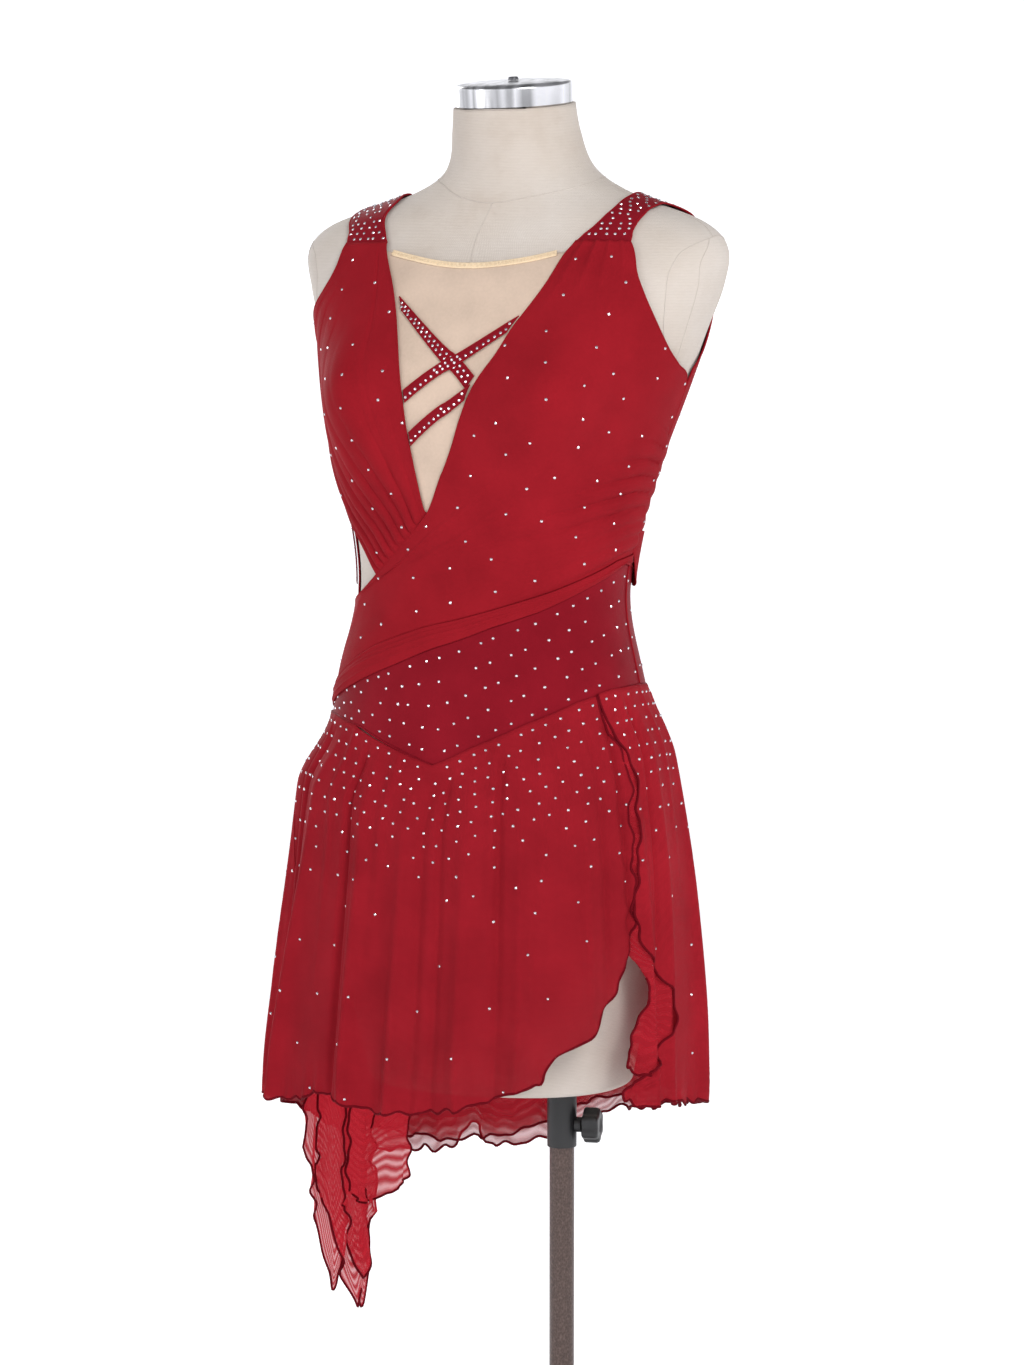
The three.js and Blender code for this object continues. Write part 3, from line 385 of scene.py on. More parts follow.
# Grids kept for the edges and stones: name -> (outer points, outward directions).
GRIDS = {}
# Sheets of cloth by name, with the pieces sewn on each.
SHEETS = {}


def cloth_object(name, outer, inner, material, replaces, held, part_of=None):
    """A closed thin wall over two grids of points, noted as a sheet of cloth."""
    rows, columns = outer.shape[:2]
    count = rows * columns
    across = np.linalg.norm(np.diff(outer, axis=1), axis=-1)
    along = np.linalg.norm(np.diff(outer, axis=0), axis=-1)
    u = np.concatenate([np.zeros((rows, 1)), np.cumsum(across, 1)], 1)
    u = u - u.mean(1, keepdims=True)
    v = np.concatenate([np.zeros((1, columns)), np.cumsum(along, 0)], 0)
    uv = np.stack([u, v], -1).reshape(-1, 2) * MM
    verts = np.concatenate([outer.reshape(-1, 3), inner.reshape(-1, 3)]) * MM
    faces = [quads(rows, columns), quads(rows, columns, count, True)]
    grid = np.arange(count).reshape(rows, columns)
    loop = np.concatenate([grid[0, :], grid[1:, -1], grid[-1, -2::-1], grid[-2:0:-1, 0]])
    after = np.roll(loop, -1)
    faces.append(np.stack([loop + count, after + count, after, loop], -1))
    faces = np.concatenate(faces)
    item = new_object(name, verts, faces, material, np.concatenate([uv, uv]),
                      replaces=replaces)
    # The cut: the cloth's width near its widest, its longest run and its own flat area.
    first = outer[:-1, 1:] - outer[:-1, :-1]
    second = outer[1:, :-1] - outer[:-1, :-1]
    area = np.linalg.norm(np.cross(first, second), axis=-1).sum() * MM * MM
    level = np.linalg.norm(np.diff(outer[..., :2], axis=1), axis=-1)
    width = np.quantile((level if held in ("hung", "stretched") else across).sum(1), 0.9) * MM
    length = along.sum(0).max() * MM
    if part_of:
        SHEETS[part_of]["with"].append(item)
    else:
        SHEETS[name] = {"piece": item, "flat": (round(width, 3), round(length, 3)),
                        "area": round(area, 5), "held": held, "with": []}


def tube(name, path, radius, material, sides=6, closed=False):
    """A thin round cord along points, for a rolled edge or a thread."""
    p = np.asarray(path, float)
    if closed:
        tangent = np.roll(p, -1, 0) - np.roll(p, 1, 0)
    else:
        tangent = np.gradient(p, axis=0)
    tangent /= np.maximum(np.linalg.norm(tangent, axis=1, keepdims=True), 1e-9)
    middle = np.array([FORM_X, FORM_Y, 0.0])
    side = p - middle
    side[:, 2] = 0.2
    normal = side - tangent * (side * tangent).sum(1, keepdims=True)
    normal /= np.maximum(np.linalg.norm(normal, axis=1, keepdims=True), 1e-9)
    other = np.cross(tangent, normal)
    turn = full_turn(sides)
    around = p[:, None] + radius * (np.cos(turn)[None, :, None] * normal[:, None]
                                    + np.sin(turn)[None, :, None] * other[:, None])
    faces = loop_faces(len(p), sides) if closed else capped_faces(len(p), sides)
    return new_object(name, around.reshape(-1, 3) * MM, faces, material)


def lathe(name, outline, segments, material, body, replaces=(), place=None):
    """A turned solid from [radius, z] points that begin and end on the axis."""
    o = np.asarray(outline, float)
    rings = turned_rings(o[1:-1], segments)
    verts = np.concatenate([rings, [[0, 0, o[0, 1]], [0, 0, o[-1, 1]]]])
    faces = quads(len(o) - 2, segments, closed=True).tolist()
    low, high = len(rings), len(rings) + 1
    base = len(rings) - segments
    for k in range(segments):
        n = (k + 1) % segments
        faces.append([low, n, k])
        faces.append([high, base + k, base + n])
    if place is not None:
        verts = place(verts)
    new_object(name, verts * MM, faces, material, body=body, replaces=replaces)


def ring(name, outline, segments, material, body, replaces=(), place=None):
    """A turned ring from a closed outline of [radius, z] points."""
    verts = turned_rings(outline, segments)
    if place is not None:
        verts = place(verts)
    new_object(name, verts * MM, loop_faces(len(outline), segments), material, body=body,
               replaces=replaces)


def rounded(points, radius, steps=4):
    """The outline with its inner corners rounded."""
    p = [np.asarray(q, float) for q in points]
    out = [p[0]]
    for a, b, c in zip(p, p[1:], p[2:]):
        r = min(radius, np.linalg.norm(b - a) * 0.45, np.linalg.norm(c - b) * 0.45)
        start = b + (a - b) / max(np.linalg.norm(a - b), 1e-9) * r
        end = b + (c - b) / max(np.linalg.norm(c - b), 1e-9) * r
        for k in range(steps + 1):
            t = k / steps
            out.append((1 - t) ** 2 * start + 2 * t * (1 - t) * b + t * t * end)
    out.append(p[-1])
    return out


# -------------------------------------------------------------- materials


class Nodes:
    """A material with a Principled shader and short ways to add nodes."""

    def __init__(self, name, colour, roughness, **sockets):
        self.material = bpy.data.materials.new(name)
        self.material.use_nodes = True
        self.tree = self.material.node_tree
        self.shader = self.tree.nodes["Principled BSDF"]
        for key, value in {"Base Color": colour, "Roughness": roughness, **sockets}.items():
            self.feed(self.shader.inputs[key.replace("_", " ")], value)

    def link(self, a, b):
        self.tree.links.new(a, b)

    def feed(self, socket, value):
        """Gives a socket a number, a colour or another node's output."""
        if isinstance(value, tuple):
            socket.default_value = (*value, 1)
        elif isinstance(value, (int, float)):
            socket.default_value = value
        else:
            self.link(value, socket)

    def add(self, kind, **values):
        node = self.tree.nodes.new(kind)
        for key, value in values.items():
            if hasattr(node, key):
                setattr(node, key, value)
            else:
                node.inputs[key.replace("_", " ")].default_value = value
        return node

    def place(self, stretch=(1, 1, 1), uv=False):
        source = (self.add("ShaderNodeUVMap", uv_map="cloth") if uv
                  else self.add("ShaderNodeTexCoord"))
        mapping = self.add("ShaderNodeMapping", Scale=stretch)
        self.link(source.outputs["UV" if uv else "Object"], mapping.inputs["Vector"])
        return mapping.outputs["Vector"]

    def texture(self, kind, where, **values):
        node = self.add(kind, **values)
        self.link(where, node.inputs["Vector"])
        return node

    def noise(self, where, scale, detail=3.0, rough=0.5):
        return self.texture("ShaderNodeTexNoise", where, Scale=scale, Detail=detail,
                            Roughness=rough).outputs["Fac"]

    def wave(self, where, scale, axis="X", distortion=0.0, detail=0.0):
        return self.texture("ShaderNodeTexWave", where, bands_direction=axis, Scale=scale,
                            Distortion=distortion, Detail=detail).outputs["Fac"]

    def math(self, operation, a, b):
        node = self.add("ShaderNodeMath", operation=operation)
        self.feed(node.inputs[0], a)
        self.feed(node.inputs[1], b)
        return node.outputs[0]

    def ramp(self, fac, stops):
        node = self.add("ShaderNodeValToRGB")
        elements = node.color_ramp.elements
        while len(elements) < len(stops):
            elements.new(0.5)
        for element, (spot, colour) in zip(elements, stops):
            element.position = spot
            element.color = (*colour, 1)
        self.link(fac, node.inputs["Fac"])
        return node.outputs["Color"]

    def multiply(self, a, b):
        """One colour output times another."""
        node = self.add("ShaderNodeMix", data_type="RGBA", blend_type="MULTIPLY")
        for k, value in ((0, 1.0), (6, a), (7, b)):
            self.feed(node.inputs[k], value)
        return node.outputs[2]

    def colour(self, output):
        self.link(output, self.shader.inputs["Base Color"])

    def roughness(self, output):
        self.link(output, self.shader.inputs["Roughness"])

    def bump(self, height, strength, distance):
        node = self.add("ShaderNodeBump", Strength=strength, Distance=distance)
        self.link(height, node.inputs["Height"])
        self.link(node.outputs["Normal"], self.shader.inputs["Normal"])


# A wave texture of scale 1 has 20 bands in 2 pi metres, so this over a pitch gives the scale.
WAVE_RATE = 2 * math.pi / 20


def shade(colour, factor):
    return tuple(min(c * factor, 1) for c in colour)


def knit(name, colour, roughness, sheen, alpha=1.0, pitch=0.0007, depth=0.00012, streak=0.12):
    """Knitted stretch cloth: fine ribs one way, courses the other, and a soft uneven tone."""
    n = Nodes(name, colour, roughness, Sheen_Weight=sheen, Sheen_Roughness=0.45,
              Sheen_Tint=shade(colour, 2.6), Specular_IOR_Level=0.06,
              Specular_Tint=shade(colour, 2.0), Alpha=alpha)
    flat = n.place(uv=True)
    ribs = n.wave(flat, WAVE_RATE / pitch, "X")
    courses = n.wave(flat, WAVE_RATE / (pitch * 0.8), "Y")
    weave = n.math("MULTIPLY", ribs, courses)
    solid = n.place()
    cloud = n.noise(solid, 22, 4)
    fine = n.noise(solid, 420, 2)
    tone = n.math("ADD", n.math("MULTIPLY", cloud, 1 - streak * 2),
                  n.math("MULTIPLY", fine, streak * 2))
    n.colour(n.ramp(tone, [(0.25, shade(colour, 0.84)), (0.75, shade(colour, 1.14))]))
    n.roughness(n.math("ADD", n.math("MULTIPLY", fine, 0.14), roughness - 0.07))
    n.bump(n.math("ADD", weave, n.math("MULTIPLY", cloud, 1.5)), 0.35, depth)
    return n


RED = (0.25, 0.0095, 0.0155)
WINE = (0.2, 0.0075, 0.0145)
SHEER = (0.275, 0.011, 0.0185)
EDGE = (0.12, 0.0045, 0.009)
NUDE = (0.68, 0.53, 0.42)
BAND = (0.83, 0.65, 0.44)
CREAM = (0.6, 0.535, 0.48)
SHEEN = 0.06

jersey = knit("red jersey", RED, 0.72, SHEEN).material
satin = knit("wine satin lycra", WINE, 0.5, SHEEN, pitch=0.0005, depth=0.00006,
             streak=0.06).material


def sheer_mesh(name, colour, alpha, moire, hem_alpha=None, glow=0.0):
    """See-through stretch mesh with the wavy bands that two layers of it make. The glow is
    painted light: an emission in the mesh's own colour that stands in for the light that comes
    through it; near its hem a panel hangs alone and can be clearer."""
    n = knit(name, colour, 0.66, SHEEN, alpha=alpha, pitch=0.0009, depth=0.0001, streak=0.1)
    # Painted light: the mesh glows in a brighter copy of its colour, by the glow's strength.
    n.feed(n.shader.inputs["Emission Color"], shade(colour, 1.8))
    n.feed(n.shader.inputs["Emission Strength"], glow)
    bands = n.wave(n.place(uv=True), 38.0, "Y", 26.0, 1.0)
    bands.node.inputs["Detail Scale"].default_value = 0.3
    solid = n.place()
    cloud = n.noise(solid, 22, 4)
    base = n.ramp(cloud, [(0.25, shade(colour, 0.86)), (0.75, shade(colour, 1.12))])
    stripe = n.ramp(bands, [(0.3, (1 - moire,) * 3), (0.7, (1, 1, 1))])
    n.colour(n.multiply(base, stripe))
    see = n.math("SUBTRACT", alpha, n.math("MULTIPLY", bands, moire * 0.8))
    if hem_alpha is not None:
        split = n.add("ShaderNodeSeparateXYZ")
        n.link(n.place(uv=True), split.inputs["Vector"])
        above = n.add("ShaderNodeMapRange", From_Min=0.009, From_Max=0.02,
                      To_Min=hem_alpha - alpha, To_Max=0.0)
        n.link(split.outputs["Y"], above.inputs["Value"])
        see = n.math("ADD", see, above.outputs["Result"])
    n.link(see, n.shader.inputs["Alpha"])
    return n.material


mesh_front = sheer_mesh("red stretch mesh", SHEER, 0.9, 0.04)
mesh_side = sheer_mesh("red stretch mesh side", SHEER, 0.95, 0.14, glow=0.1)
mesh_under = sheer_mesh("red stretch mesh inside", SHEER, 0.9, 0.24, 0.6, 0.25)
mesh_tail = sheer_mesh("red stretch mesh single", SHEER, 0.86, 0.45, glow=0.6)
edging = knit("dark rolled edge", EDGE, 0.7, SHEEN, pitch=0.0006).material
nude_mesh = knit("nude mesh", NUDE, 0.8, 0.2, alpha=0.78, pitch=0.0009).material
nude_band = knit("nude elastic", BAND, 0.7, 0.2, pitch=0.0008).material
thread = knit("nude thread", (0.9, 0.72, 0.5), 0.6, 0.2, pitch=0.0004).material


def linen_material():
    n = Nodes("linen cover", CREAM, 0.9, Sheen_Weight=0.15, Specular_IOR_Level=0.2)
    flat = n.place(uv=True)
    warp = n.wave(flat, WAVE_RATE / 0.0011, "X", 0.6, 1.0)
    weft = n.wave(flat, WAVE_RATE / 0.0012, "Y", 0.6, 1.0)
    weave = n.math("MULTIPLY", warp, weft)
    solid = n.place()
    slub = n.noise(n.place((1, 1, 9)), 150, 3)
    stain = n.noise(solid, 9, 5, 0.6)
    base = n.ramp(stain, [(0.28, (0.5, 0.425, 0.36)), (0.42, (0.575, 0.51, 0.45)),
                          (0.7, (0.63, 0.575, 0.525))])
    woven = n.ramp(n.math("ADD", n.math("MULTIPLY", weave, 0.6), n.math("MULTIPLY", slub, 0.4)),
                   [(0.15, (0.86, 0.85, 0.84)), (0.6, (1, 1, 1))])
    n.colour(n.multiply(base, woven))
    n.bump(n.math("ADD", weave, n.math("MULTIPLY", slub, 1.2)), 0.5, 0.00025)
    return n.material


linen = linen_material()
seam_linen = Nodes("linen seam", shade(CREAM, 0.84), 0.9).material


def metal(name, colour, roughness, streak=0.0):
    """Turned metal, with upright bands of light and dark painted into its colour: a painted
    reflection of a bright room.
    """
    n = Nodes(name, colour, roughness, Metallic=1.0)
    # Painted reflection: the noise and ramp below darken and lighten the metal's colour in
    # upright bands.
    bands = n.noise(n.place((1, 0.5, 0.02)), 34, 2)
    n.colour(n.ramp(bands, [(0.36, shade(colour, 0.5)), (0.46, shade(colour, 1.2)),
                            (0.52, shade(colour, 0.6)), (0.62, shade(colour, 1.3))]))
    fine = n.noise(n.place((1, 1, 40)), 60, 3)
    n.roughness(n.math("ADD", n.math("MULTIPLY", fine, 0.12 + streak), roughness - 0.05))
    return n.material


steel = metal("polished cap steel", (0.66, 0.66, 0.68), 0.2, 0.05)
dark_steel = metal("screw steel", (0.16, 0.16, 0.17), 0.35)


def stone_material():
    n = Nodes("clear rhinestone", (0.8, 0.78, 0.82), 0.12, Metallic=0.9)
    tone = n.noise(n.place(), 700, 1)
    n.colour(n.ramp(tone, [(0.35, (0.5, 0.48, 0.53)), (0.65, (0.95, 0.94, 0.96))]))
    return n.material


stone = stone_material()


def hammered():
    n = Nodes("brown hammered paint", (0.09, 0.058, 0.05), 0.33, Metallic=0.35)
    cells = n.texture("ShaderNodeTexVoronoi", n.place((1, 1, 0.7)), feature="SMOOTH_F1",
                      Scale=800)
    spot = cells.outputs["Distance"]
    n.colour(n.ramp(spot, [(0.1, (0.05, 0.032, 0.028)), (0.55, (0.092, 0.06, 0.051)),
                           (0.9, (0.14, 0.098, 0.084))]))
    n.bump(spot, 0.5, 0.0004)
    return n.material


paint = hammered()


def moulded():
    n = Nodes("black moulded plastic", (0.012, 0.012, 0.013), 0.45)
    grain = n.noise(n.place(), 900, 3)
    n.roughness(n.math("ADD", n.math("MULTIPLY", grain, 0.2), 0.32))
    n.bump(grain, 0.2, 0.0001)
    return n.material


plastic = moulded()

# --------------------------------------------------------- form and stand


def lean(verts):
    """The neck's own tilt, for the cap and its screw."""
    a = math.radians(CAP["lean"])
    x, y, z = verts[:, 0], verts[:, 1], verts[:, 2]
    return np.stack([x + NECK_X, y * math.cos(a) - z * math.sin(a) + NECK_Y,
                     y * math.sin(a) + z * math.cos(a) + CAP["z"]], -1)


def build_form():
    levels = np.concatenate([
        FORM_BOTTOM + BOTTOM_ROUND * (1 - np.cos(np.linspace(0, math.pi / 2, 6))),
        np.arange(670, 1300, 5.2), np.arange(1300, 1457, 2.6), [FORM_TOP]])
    columns = 204
    angle = np.arange(columns) * 360 / columns - 180
    a, z = np.meshgrid(angle, levels)
    point = form_point(a, z)
    down = np.maximum(FORM_BOTTOM + BOTTOM_ROUND - z, 0)
    inset = BOTTOM_ROUND - np.sqrt(np.maximum(BOTTOM_ROUND**2 - down**2, 0))
    uneven = 0.35 * ripple(a * 0.05, z * 0.012, 4, 7)
    out = level_out(form_point(a + 1, z) - form_point(a - 1, z))
    point = point + out * (uneven - inset)[..., None]
    top = point[-1]
    top[:, 2] += (top[:, 1] - NECK_Y) * math.tan(math.radians(CAP["lean"]))
    # Underside: rings draw in from the rim to the hole round the pole, and a bore leads up.
    rim, turn, gap = point[0], np.radians(angle), POLE["radius"] + 1
    hole = np.stack([gap * np.sin(turn), -gap * np.cos(turn), 0 * turn + FORM_BOTTOM + 0.3], -1)
    under = [hole + [0, 0, 60], *(mix(rim, hole, t) for t in (1.0, 0.985, 0.6, 0.3, 0.02))]
    crown = [[NECK_X, NECK_Y, FORM_TOP]]
    verts = np.concatenate([np.concatenate([under, point]).reshape(-1, 3), crown])
    total = len(under) + len(levels)
    faces = quads(total, columns, closed=True).tolist()
    base = (total - 1) * columns
    for k in range(columns):
        faces.append([total * columns, base + k, base + (k + 1) % columns])
    girth = np.tile(angle * 2.4, total)
    height = np.concatenate([np.full(len(under) * columns, FORM_BOTTOM),
                             np.repeat(levels, columns)])
    uvs = np.column_stack([np.append(girth, 0), np.append(height, FORM_TOP)]) * MM
    new_object("form_cover", verts * MM, faces, linen, uvs,
               replaces=["form_torso"])


def surface_path(points, lift, count):
    return on_form(*path_through(points)(np.linspace(0, 1, count)), lift)


def build_form_seams():
    """The linen's seams, in front, behind, over the shoulders and round the arms and neck."""
    seams = {
        "seam_centre_front": [(1.5, 1380), (-0.5, 1356), (-0.5, 1332), (1, 1250), (0, 1100)],
        "seam_centre_back": [(180, 1402), (180, 1340), (180, 1250), (180, 1150)],
        "seam_shoulder_left": [(84, 1401), (85, 1380), (85, 1364), (83.5, 1352)],
        "seam_shoulder_right": [(-84, 1401), (-85, 1380), (-85, 1364), (-83.5, 1352)],
    }
    for side, mark in ((1, "left"), (-1, "right")):
        seams[f"seam_arm_{mark}"] = [
            (side * a, z) for a, z in (
                (77, 1246), (66, 1283), (58, 1322), (61.5, 1340), (83.5, 1352), (100, 1352),
                (113, 1344), (121, 1322), (117, 1280), (103, 1246))]
        seams[f"seam_arm_middle_{mark}"] = [
            (side * a, z) for a, z in (
                (79.5, 1351), (73, 1332), (76.5, 1314), (80.5, 1282), (82.5, 1252))]
    for name, points in seams.items():
        path = surface_path(points, 0.05, 90)
        tube(name, path, 0.36, seam_linen)
    neck = [(-180, 1402), (-120, 1403), (-80, 1402), (-42.5, 1396), (-15.5, 1384), (1, 1380),
            (24, 1386), (61, 1396), (100, 1402), (140, 1403), (180, 1402)]
    angle = np.linspace(-180, 180, 160, endpoint=False)
    path = on_form(angle, smooth_at(neck, 1, angle), 0.05)
    tube("seam_neck", path, 0.36, seam_linen, closed=True)


def build_cap():
    r, h = CAP["radius"], CAP["height"]
    shell = rounded([(0, 0), (r - 0.8, 0), (r, 0.8), (r, h), (r - 9, h + 1.2), (0, h + 2.2)],
                    CAP["round"])
    lathe("cap_shell", shell, 128, steel, BODY, ["neck_cap"], lean)
    low, high = h + 2.6, h + 5.1
    screw = rounded([(0, low), (4.5, low), (4.2, high - 0.4), (3.4, high), (0, high)], 0.5)
    lathe("cap_screw_head", screw, 40, dark_steel, BODY, ["cap_screw"], lean)


def build_stand():
    r, low, high = POLE["radius"], POLE["bottom"], POLE["top"]
    ends = rounded([(0, low), (r, low), (r, high), (0, high)], 0.8)
    pole = [*ends[:6], *([r, z] for z in np.linspace(40, 920, 23)), *ends[6:]]
    lathe("pole_tube", pole, 64, paint, "stand", ["pole"])
    wide, thick = BASE["radius"], BASE["height"]
    disc = rounded([(0, 0), (wide, 0), (wide, thick), (0, thick)], BASE["round"], 5)
    lathe("base_disc", disc, 160, paint, "stand", ["base_plate"])
    bore = r + RUNNING_GAP
    hub = rounded([(bore, low), (26, low), (24.5, low + 6), (17.5, low + 14), (16, low + 30),
                   (14, low + 34), (bore, low + 34)], 2.5)
    ring("hub_collar", hub, 96, paint, "stand", ["base_hub"])


def build_collar():
    high, r, bore = FORM_BOTTOM - 0.4, COLLAR["radius"], POLE["radius"] + RUNNING_GAP
    low = high - COLLAR["length"]
    collar = rounded([(bore, low), (r, low), (r, high), (bore, high)], COLLAR["edge"])
    ring("clamp_collar", collar, 96, plastic, BODY, ["socket_collar"])
    near, far, r, bore = 11.4, COLLAR["reach"], COLLAR["boss"], KNOB["stem"] + RUNNING_GAP
    boss = rounded([(bore, near), (r, near), (r, far), (bore, far)], 0.7, 3)
    ring("clamp_boss", boss, 48, plastic, BODY, place=along_knob)


def along_knob(verts):
    """Lays an upright turned shape along the knob's axis, to the wearer's left."""
    t = math.radians(KNOB["angle"])
    x, y, z = verts[:, 0], verts[:, 1], verts[:, 2]
    return np.stack([z * math.cos(t) - y * math.sin(t), z * math.sin(t) + y * math.cos(t),
                     KNOB["height"] - x], -1)


def build_knob():
    steps, k = 144, KNOB
    a = full_turn(steps)
    lobe = mix(k["waist"], k["radius"], 0.5 + 0.5 * np.cos(a * k["lobes"]))
    w = k["width"]
    # Height along the axis and share of the lobed outline.
    levels = [(0.0, 0.62), (0.0, 0.86), (0.6, 0.95), (1.8, 1.0), (w - 2.8, 1.0), (w - 0.8, 0.95),
              (w, 0.84), (w, 0.5), (w - 0.8, 0.42)]
    rows = [(k["stem"] + 0 * a, POLE["radius"] + RUNNING_GAP), (k["stem"] + 0 * a, k["grip"])]
    for high, size in levels:
        rows.append((lobe * size if size > 0.7 else k["waist"] * size + 0 * a, k["grip"] + high))
    verts = np.array([np.stack([r * np.cos(a), r * np.sin(a), 0 * a + high], -1)
                      for r, high in rows]).reshape(-1, 3)
    new_object("clamp_grip", along_knob(verts) * MM, capped_faces(len(rows), steps), plastic,
               body="knob", replaces=["clamp_knob"])


# ------------------------------------------------------------------ dress

def grid_shares(columns, rows, crowd_low=False):
    u = np.linspace(0, 1, columns)
    v = np.linspace(0, 1, rows)
    if crowd_low:
        v = v ** 1.35
    return np.meshgrid(u, v)


def panel_spots(edges, u, v):
    """Coons patch in (angle, z) between four edge paths."""
    left, right = edges["left"](v), edges["right"](v)
    top, bottom = edges["top"](u), edges["bottom"](u)
    low, high = ([edges[side](end) for end in (0.0, 1.0)] for side in ("bottom", "top"))
    out = []
    for k in (0, 1):
        corners = mix(mix(low[0][k], low[1][k], u), mix(high[0][k], high[1][k], u), v)
        out.append(mix(left[k], right[k], u) + mix(bottom[k], top[k], v) - corners)
    return out


def wall_on_form(name, angle, z, lift, height, wall, material, node, held, part_of=None):
    """A wall of cloth at a lift above the form, with its own relief."""
    outer = on_form(angle, z, lift + wall + height)
    inner = on_form(angle, z, lift + height)
    GRIDS[name] = (outer, form_out(angle, z))
    cloth_object(name, outer, inner, material, [node], held, part_of)


def form_panel(name, edges, size, lift, relief, wall, material, node, held="stretched",
               part_of=None):
    """A panel on the form between four edges of (angle, z) points."""
    u, v = grid_shares(*size)
    paths = {k: (p if callable(p) else path_through(p)) for k, p in edges.items()}
    angle, z = panel_spots(paths, u, v)
    height = relief(u, v) if relief else 0
    wall_on_form(name, angle, z, lift, height, wall, material, node, held, part_of)


def form_strip(name, angles, top_at, bottom_at, rows, lift, relief, material, node,
               held="stretched"):
    """A strip round the form between two lines of height."""
    angle, v = np.meshgrid(angles, np.linspace(0, 1, rows))
    z = mix(bottom_at(angle), top_at(angle), v)
    wall_on_form(name, angle, z, lift, relief(angle, v, z), CLOTH, material, node, held)


def edge_roll(name, grid, which, radius, material, lift=0.0, below=None):
    """A turned edge: a fine roll along one side of a panel, or along its part below a height."""
    outer, normal = GRIDS[grid]
    side = {"bottom": (0, slice(None)), "top": (-1, slice(None)),
            "left": (slice(None), 0), "right": (slice(None), -1)}[which]
    path = outer[side] + normal[side] * (lift - radius * 0.55)
    if below is not None:
        path = path[path[:, 2] < below]
    item = tube(name, path, radius, material)
    if grid in SHEETS:
        SHEETS[grid]["with"].append(item)


# Share along the seam, lean, half width, height and reach of each pleat.
RIGHT_PLEATS = [
    (0.055, -0.03, 0.053, 3.0, 0.66), (0.155, -0.05, 0.054, 4.0, 1.0),
    (0.26, -0.07, 0.054, 3.3, 0.7), (0.365, -0.085, 0.056, 4.2, 0.95),
    (0.47, -0.09, 0.054, 3.3, 0.72), (0.575, -0.09, 0.056, 4.0, 0.9),
    (0.68, -0.08, 0.054, 3.2, 0.64), (0.785, -0.065, 0.055, 3.7, 0.8),
    (0.89, -0.045, 0.05, 2.6, 0.55),
]


def right_relief(u, v):
    height = 0 * u
    for foot, slope, half, peak, reach in RIGHT_PLEATS:
        ridge = arch(u - foot - slope * v, half * (1 + 0.12 * v))
        height = np.maximum(height, peak * (1 - ease(v / reach)) * ridge)
    height = height * ease(u / 0.05) * ease((1 - u) / 0.05)
    soft = 0.35 * ripple(u * 9, v * 7, 11) * ease(u / 0.1) * ease((1 - u) / 0.1)
    soft = soft - 0.8 * mound(u - 0.86, 0.009) * ease((v - 0.25) / 0.1)
    tucked = -1.5 * (1 - ease(v / 0.03))
    return height * ease(v / 0.02) + soft * ease(v / 0.1) * ease((1 - v) / 0.1) + tucked


# Share up the side seam, share at the far side, half width, height and reach.
WRAP_FOLDS = [
    (0.04, 0.035, 0.0195, 3.5, 1.0), (0.078, 0.075, 0.019, 4.2, 0.85),
    (0.115, 0.13, 0.0195, 4.2, 0.64), (0.152, 0.25, 0.019, 4.1, 0.54),
    (0.189, 0.39, 0.0195, 4.0, 0.46), (0.226, 0.53, 0.019, 3.8, 0.4),
    (0.263, 0.69, 0.0195, 3.3, 0.34), (0.3, 0.85, 0.0195, 2.4, 0.26),
]
STRAP_GATHERS = [(0.16, 0.06, 1.4), (0.38, 0.06, 1.7), (0.6, 0.06, 1.5), (0.83, 0.06, 1.3)]


def wrap_relief(u, v):
    height = 0 * u
    away = 1 - u
    for seam, far, half, peak, reach in WRAP_FOLDS:
        ridge = arch(v - mix(seam, far, away), half + 0.035 * away)
        height = np.maximum(height, peak * (1 - ease(away / reach)) * ridge)
    for across, width, peak in STRAP_GATHERS:
        height = height + peak * ease((v - 0.84) / 0.16) * mound(u - across, width * 0.8)
    height = height * ease(u / 0.04) * ease((1 - u) / 0.02 + 0.5)
    # Long soft drags that run down from the cup to the right waist.
    for start, width, peak in ((0.2, 0.03, 0.7), (0.42, 0.035, 0.8), (0.63, 0.04, 0.6)):
        fade = ease(v / 0.12) * (1 - ease((v - 0.35) / 0.3))
        height = height + peak * mound(u - start - 0.35 * (v - 0.3), width) * fade
    soft = 0.35 * ripple(u * 8, v * 9, 12) * ease(u / 0.08) * ease(away / 0.06)
    return height + soft * ease(v / 0.06) * ease((1 - v) / 0.06)


def build_right_front():
    form_panel("bodice_right", {
        "top": [(-40, 1346.5), (-24.5, 1347)],
        "right": [(-6.6, 1128), *RIGHT_V],
        "left": [(-36.5, 1072), (-37.6, 1077.4), (-41.5, 1086), (-47, 1098), (-54, 1109),
                 (-61, 1120), (-71.5, 1145), (-84, 1192), (-92, 1235), (-88, 1257), (-77, 1274),
                 (-63, 1292), (-49, 1309), (-41.5, 1328), (-40, 1346.5)],
        "bottom": [(-36.5, 1072), (-22.6, 1094), (-14.4, 1108.5), (-6.6, 1128)],
    }, (112, 116), LIFT["fronts"], right_relief, CLOTH, jersey, "front_right",
        "gathered")


def build_left_wrap():
    stops = np.array([-82, -75, -68, -59, -50, -39.5, -30, -18, -9, -0.5, 9.5, 19, 29, 39, 50,
                      61.5, 71, 80, 88, 94])

    def foot(u):
        angle = np.interp(u * (len(stops) - 1), np.arange(len(stops)), stops)
        return angle, line_at(FOLD_LINE, angle) - 0.2

    form_panel("bodice_left_wrap", {
        "top": [(24.5, 1347), (41, 1346.5)],
        "left": [(-82, 975.0), (-79, 1010), *WRAP_DIAGONAL[:-1], *LEFT_V],
        "right": [(94, 1093.8), (94, 1130), (94, 1180), (94, 1222), (90.5, 1242), (82.5, 1250),
                  (72.5, 1263), (60, 1286), (50.5, 1306), (44.5, 1324), (41, 1346.5)],
        "bottom": foot,
    }, (122, 182), LIFT["fronts"], wrap_relief, CLOTH, jersey, "front_left_wrap",
        "gathered")


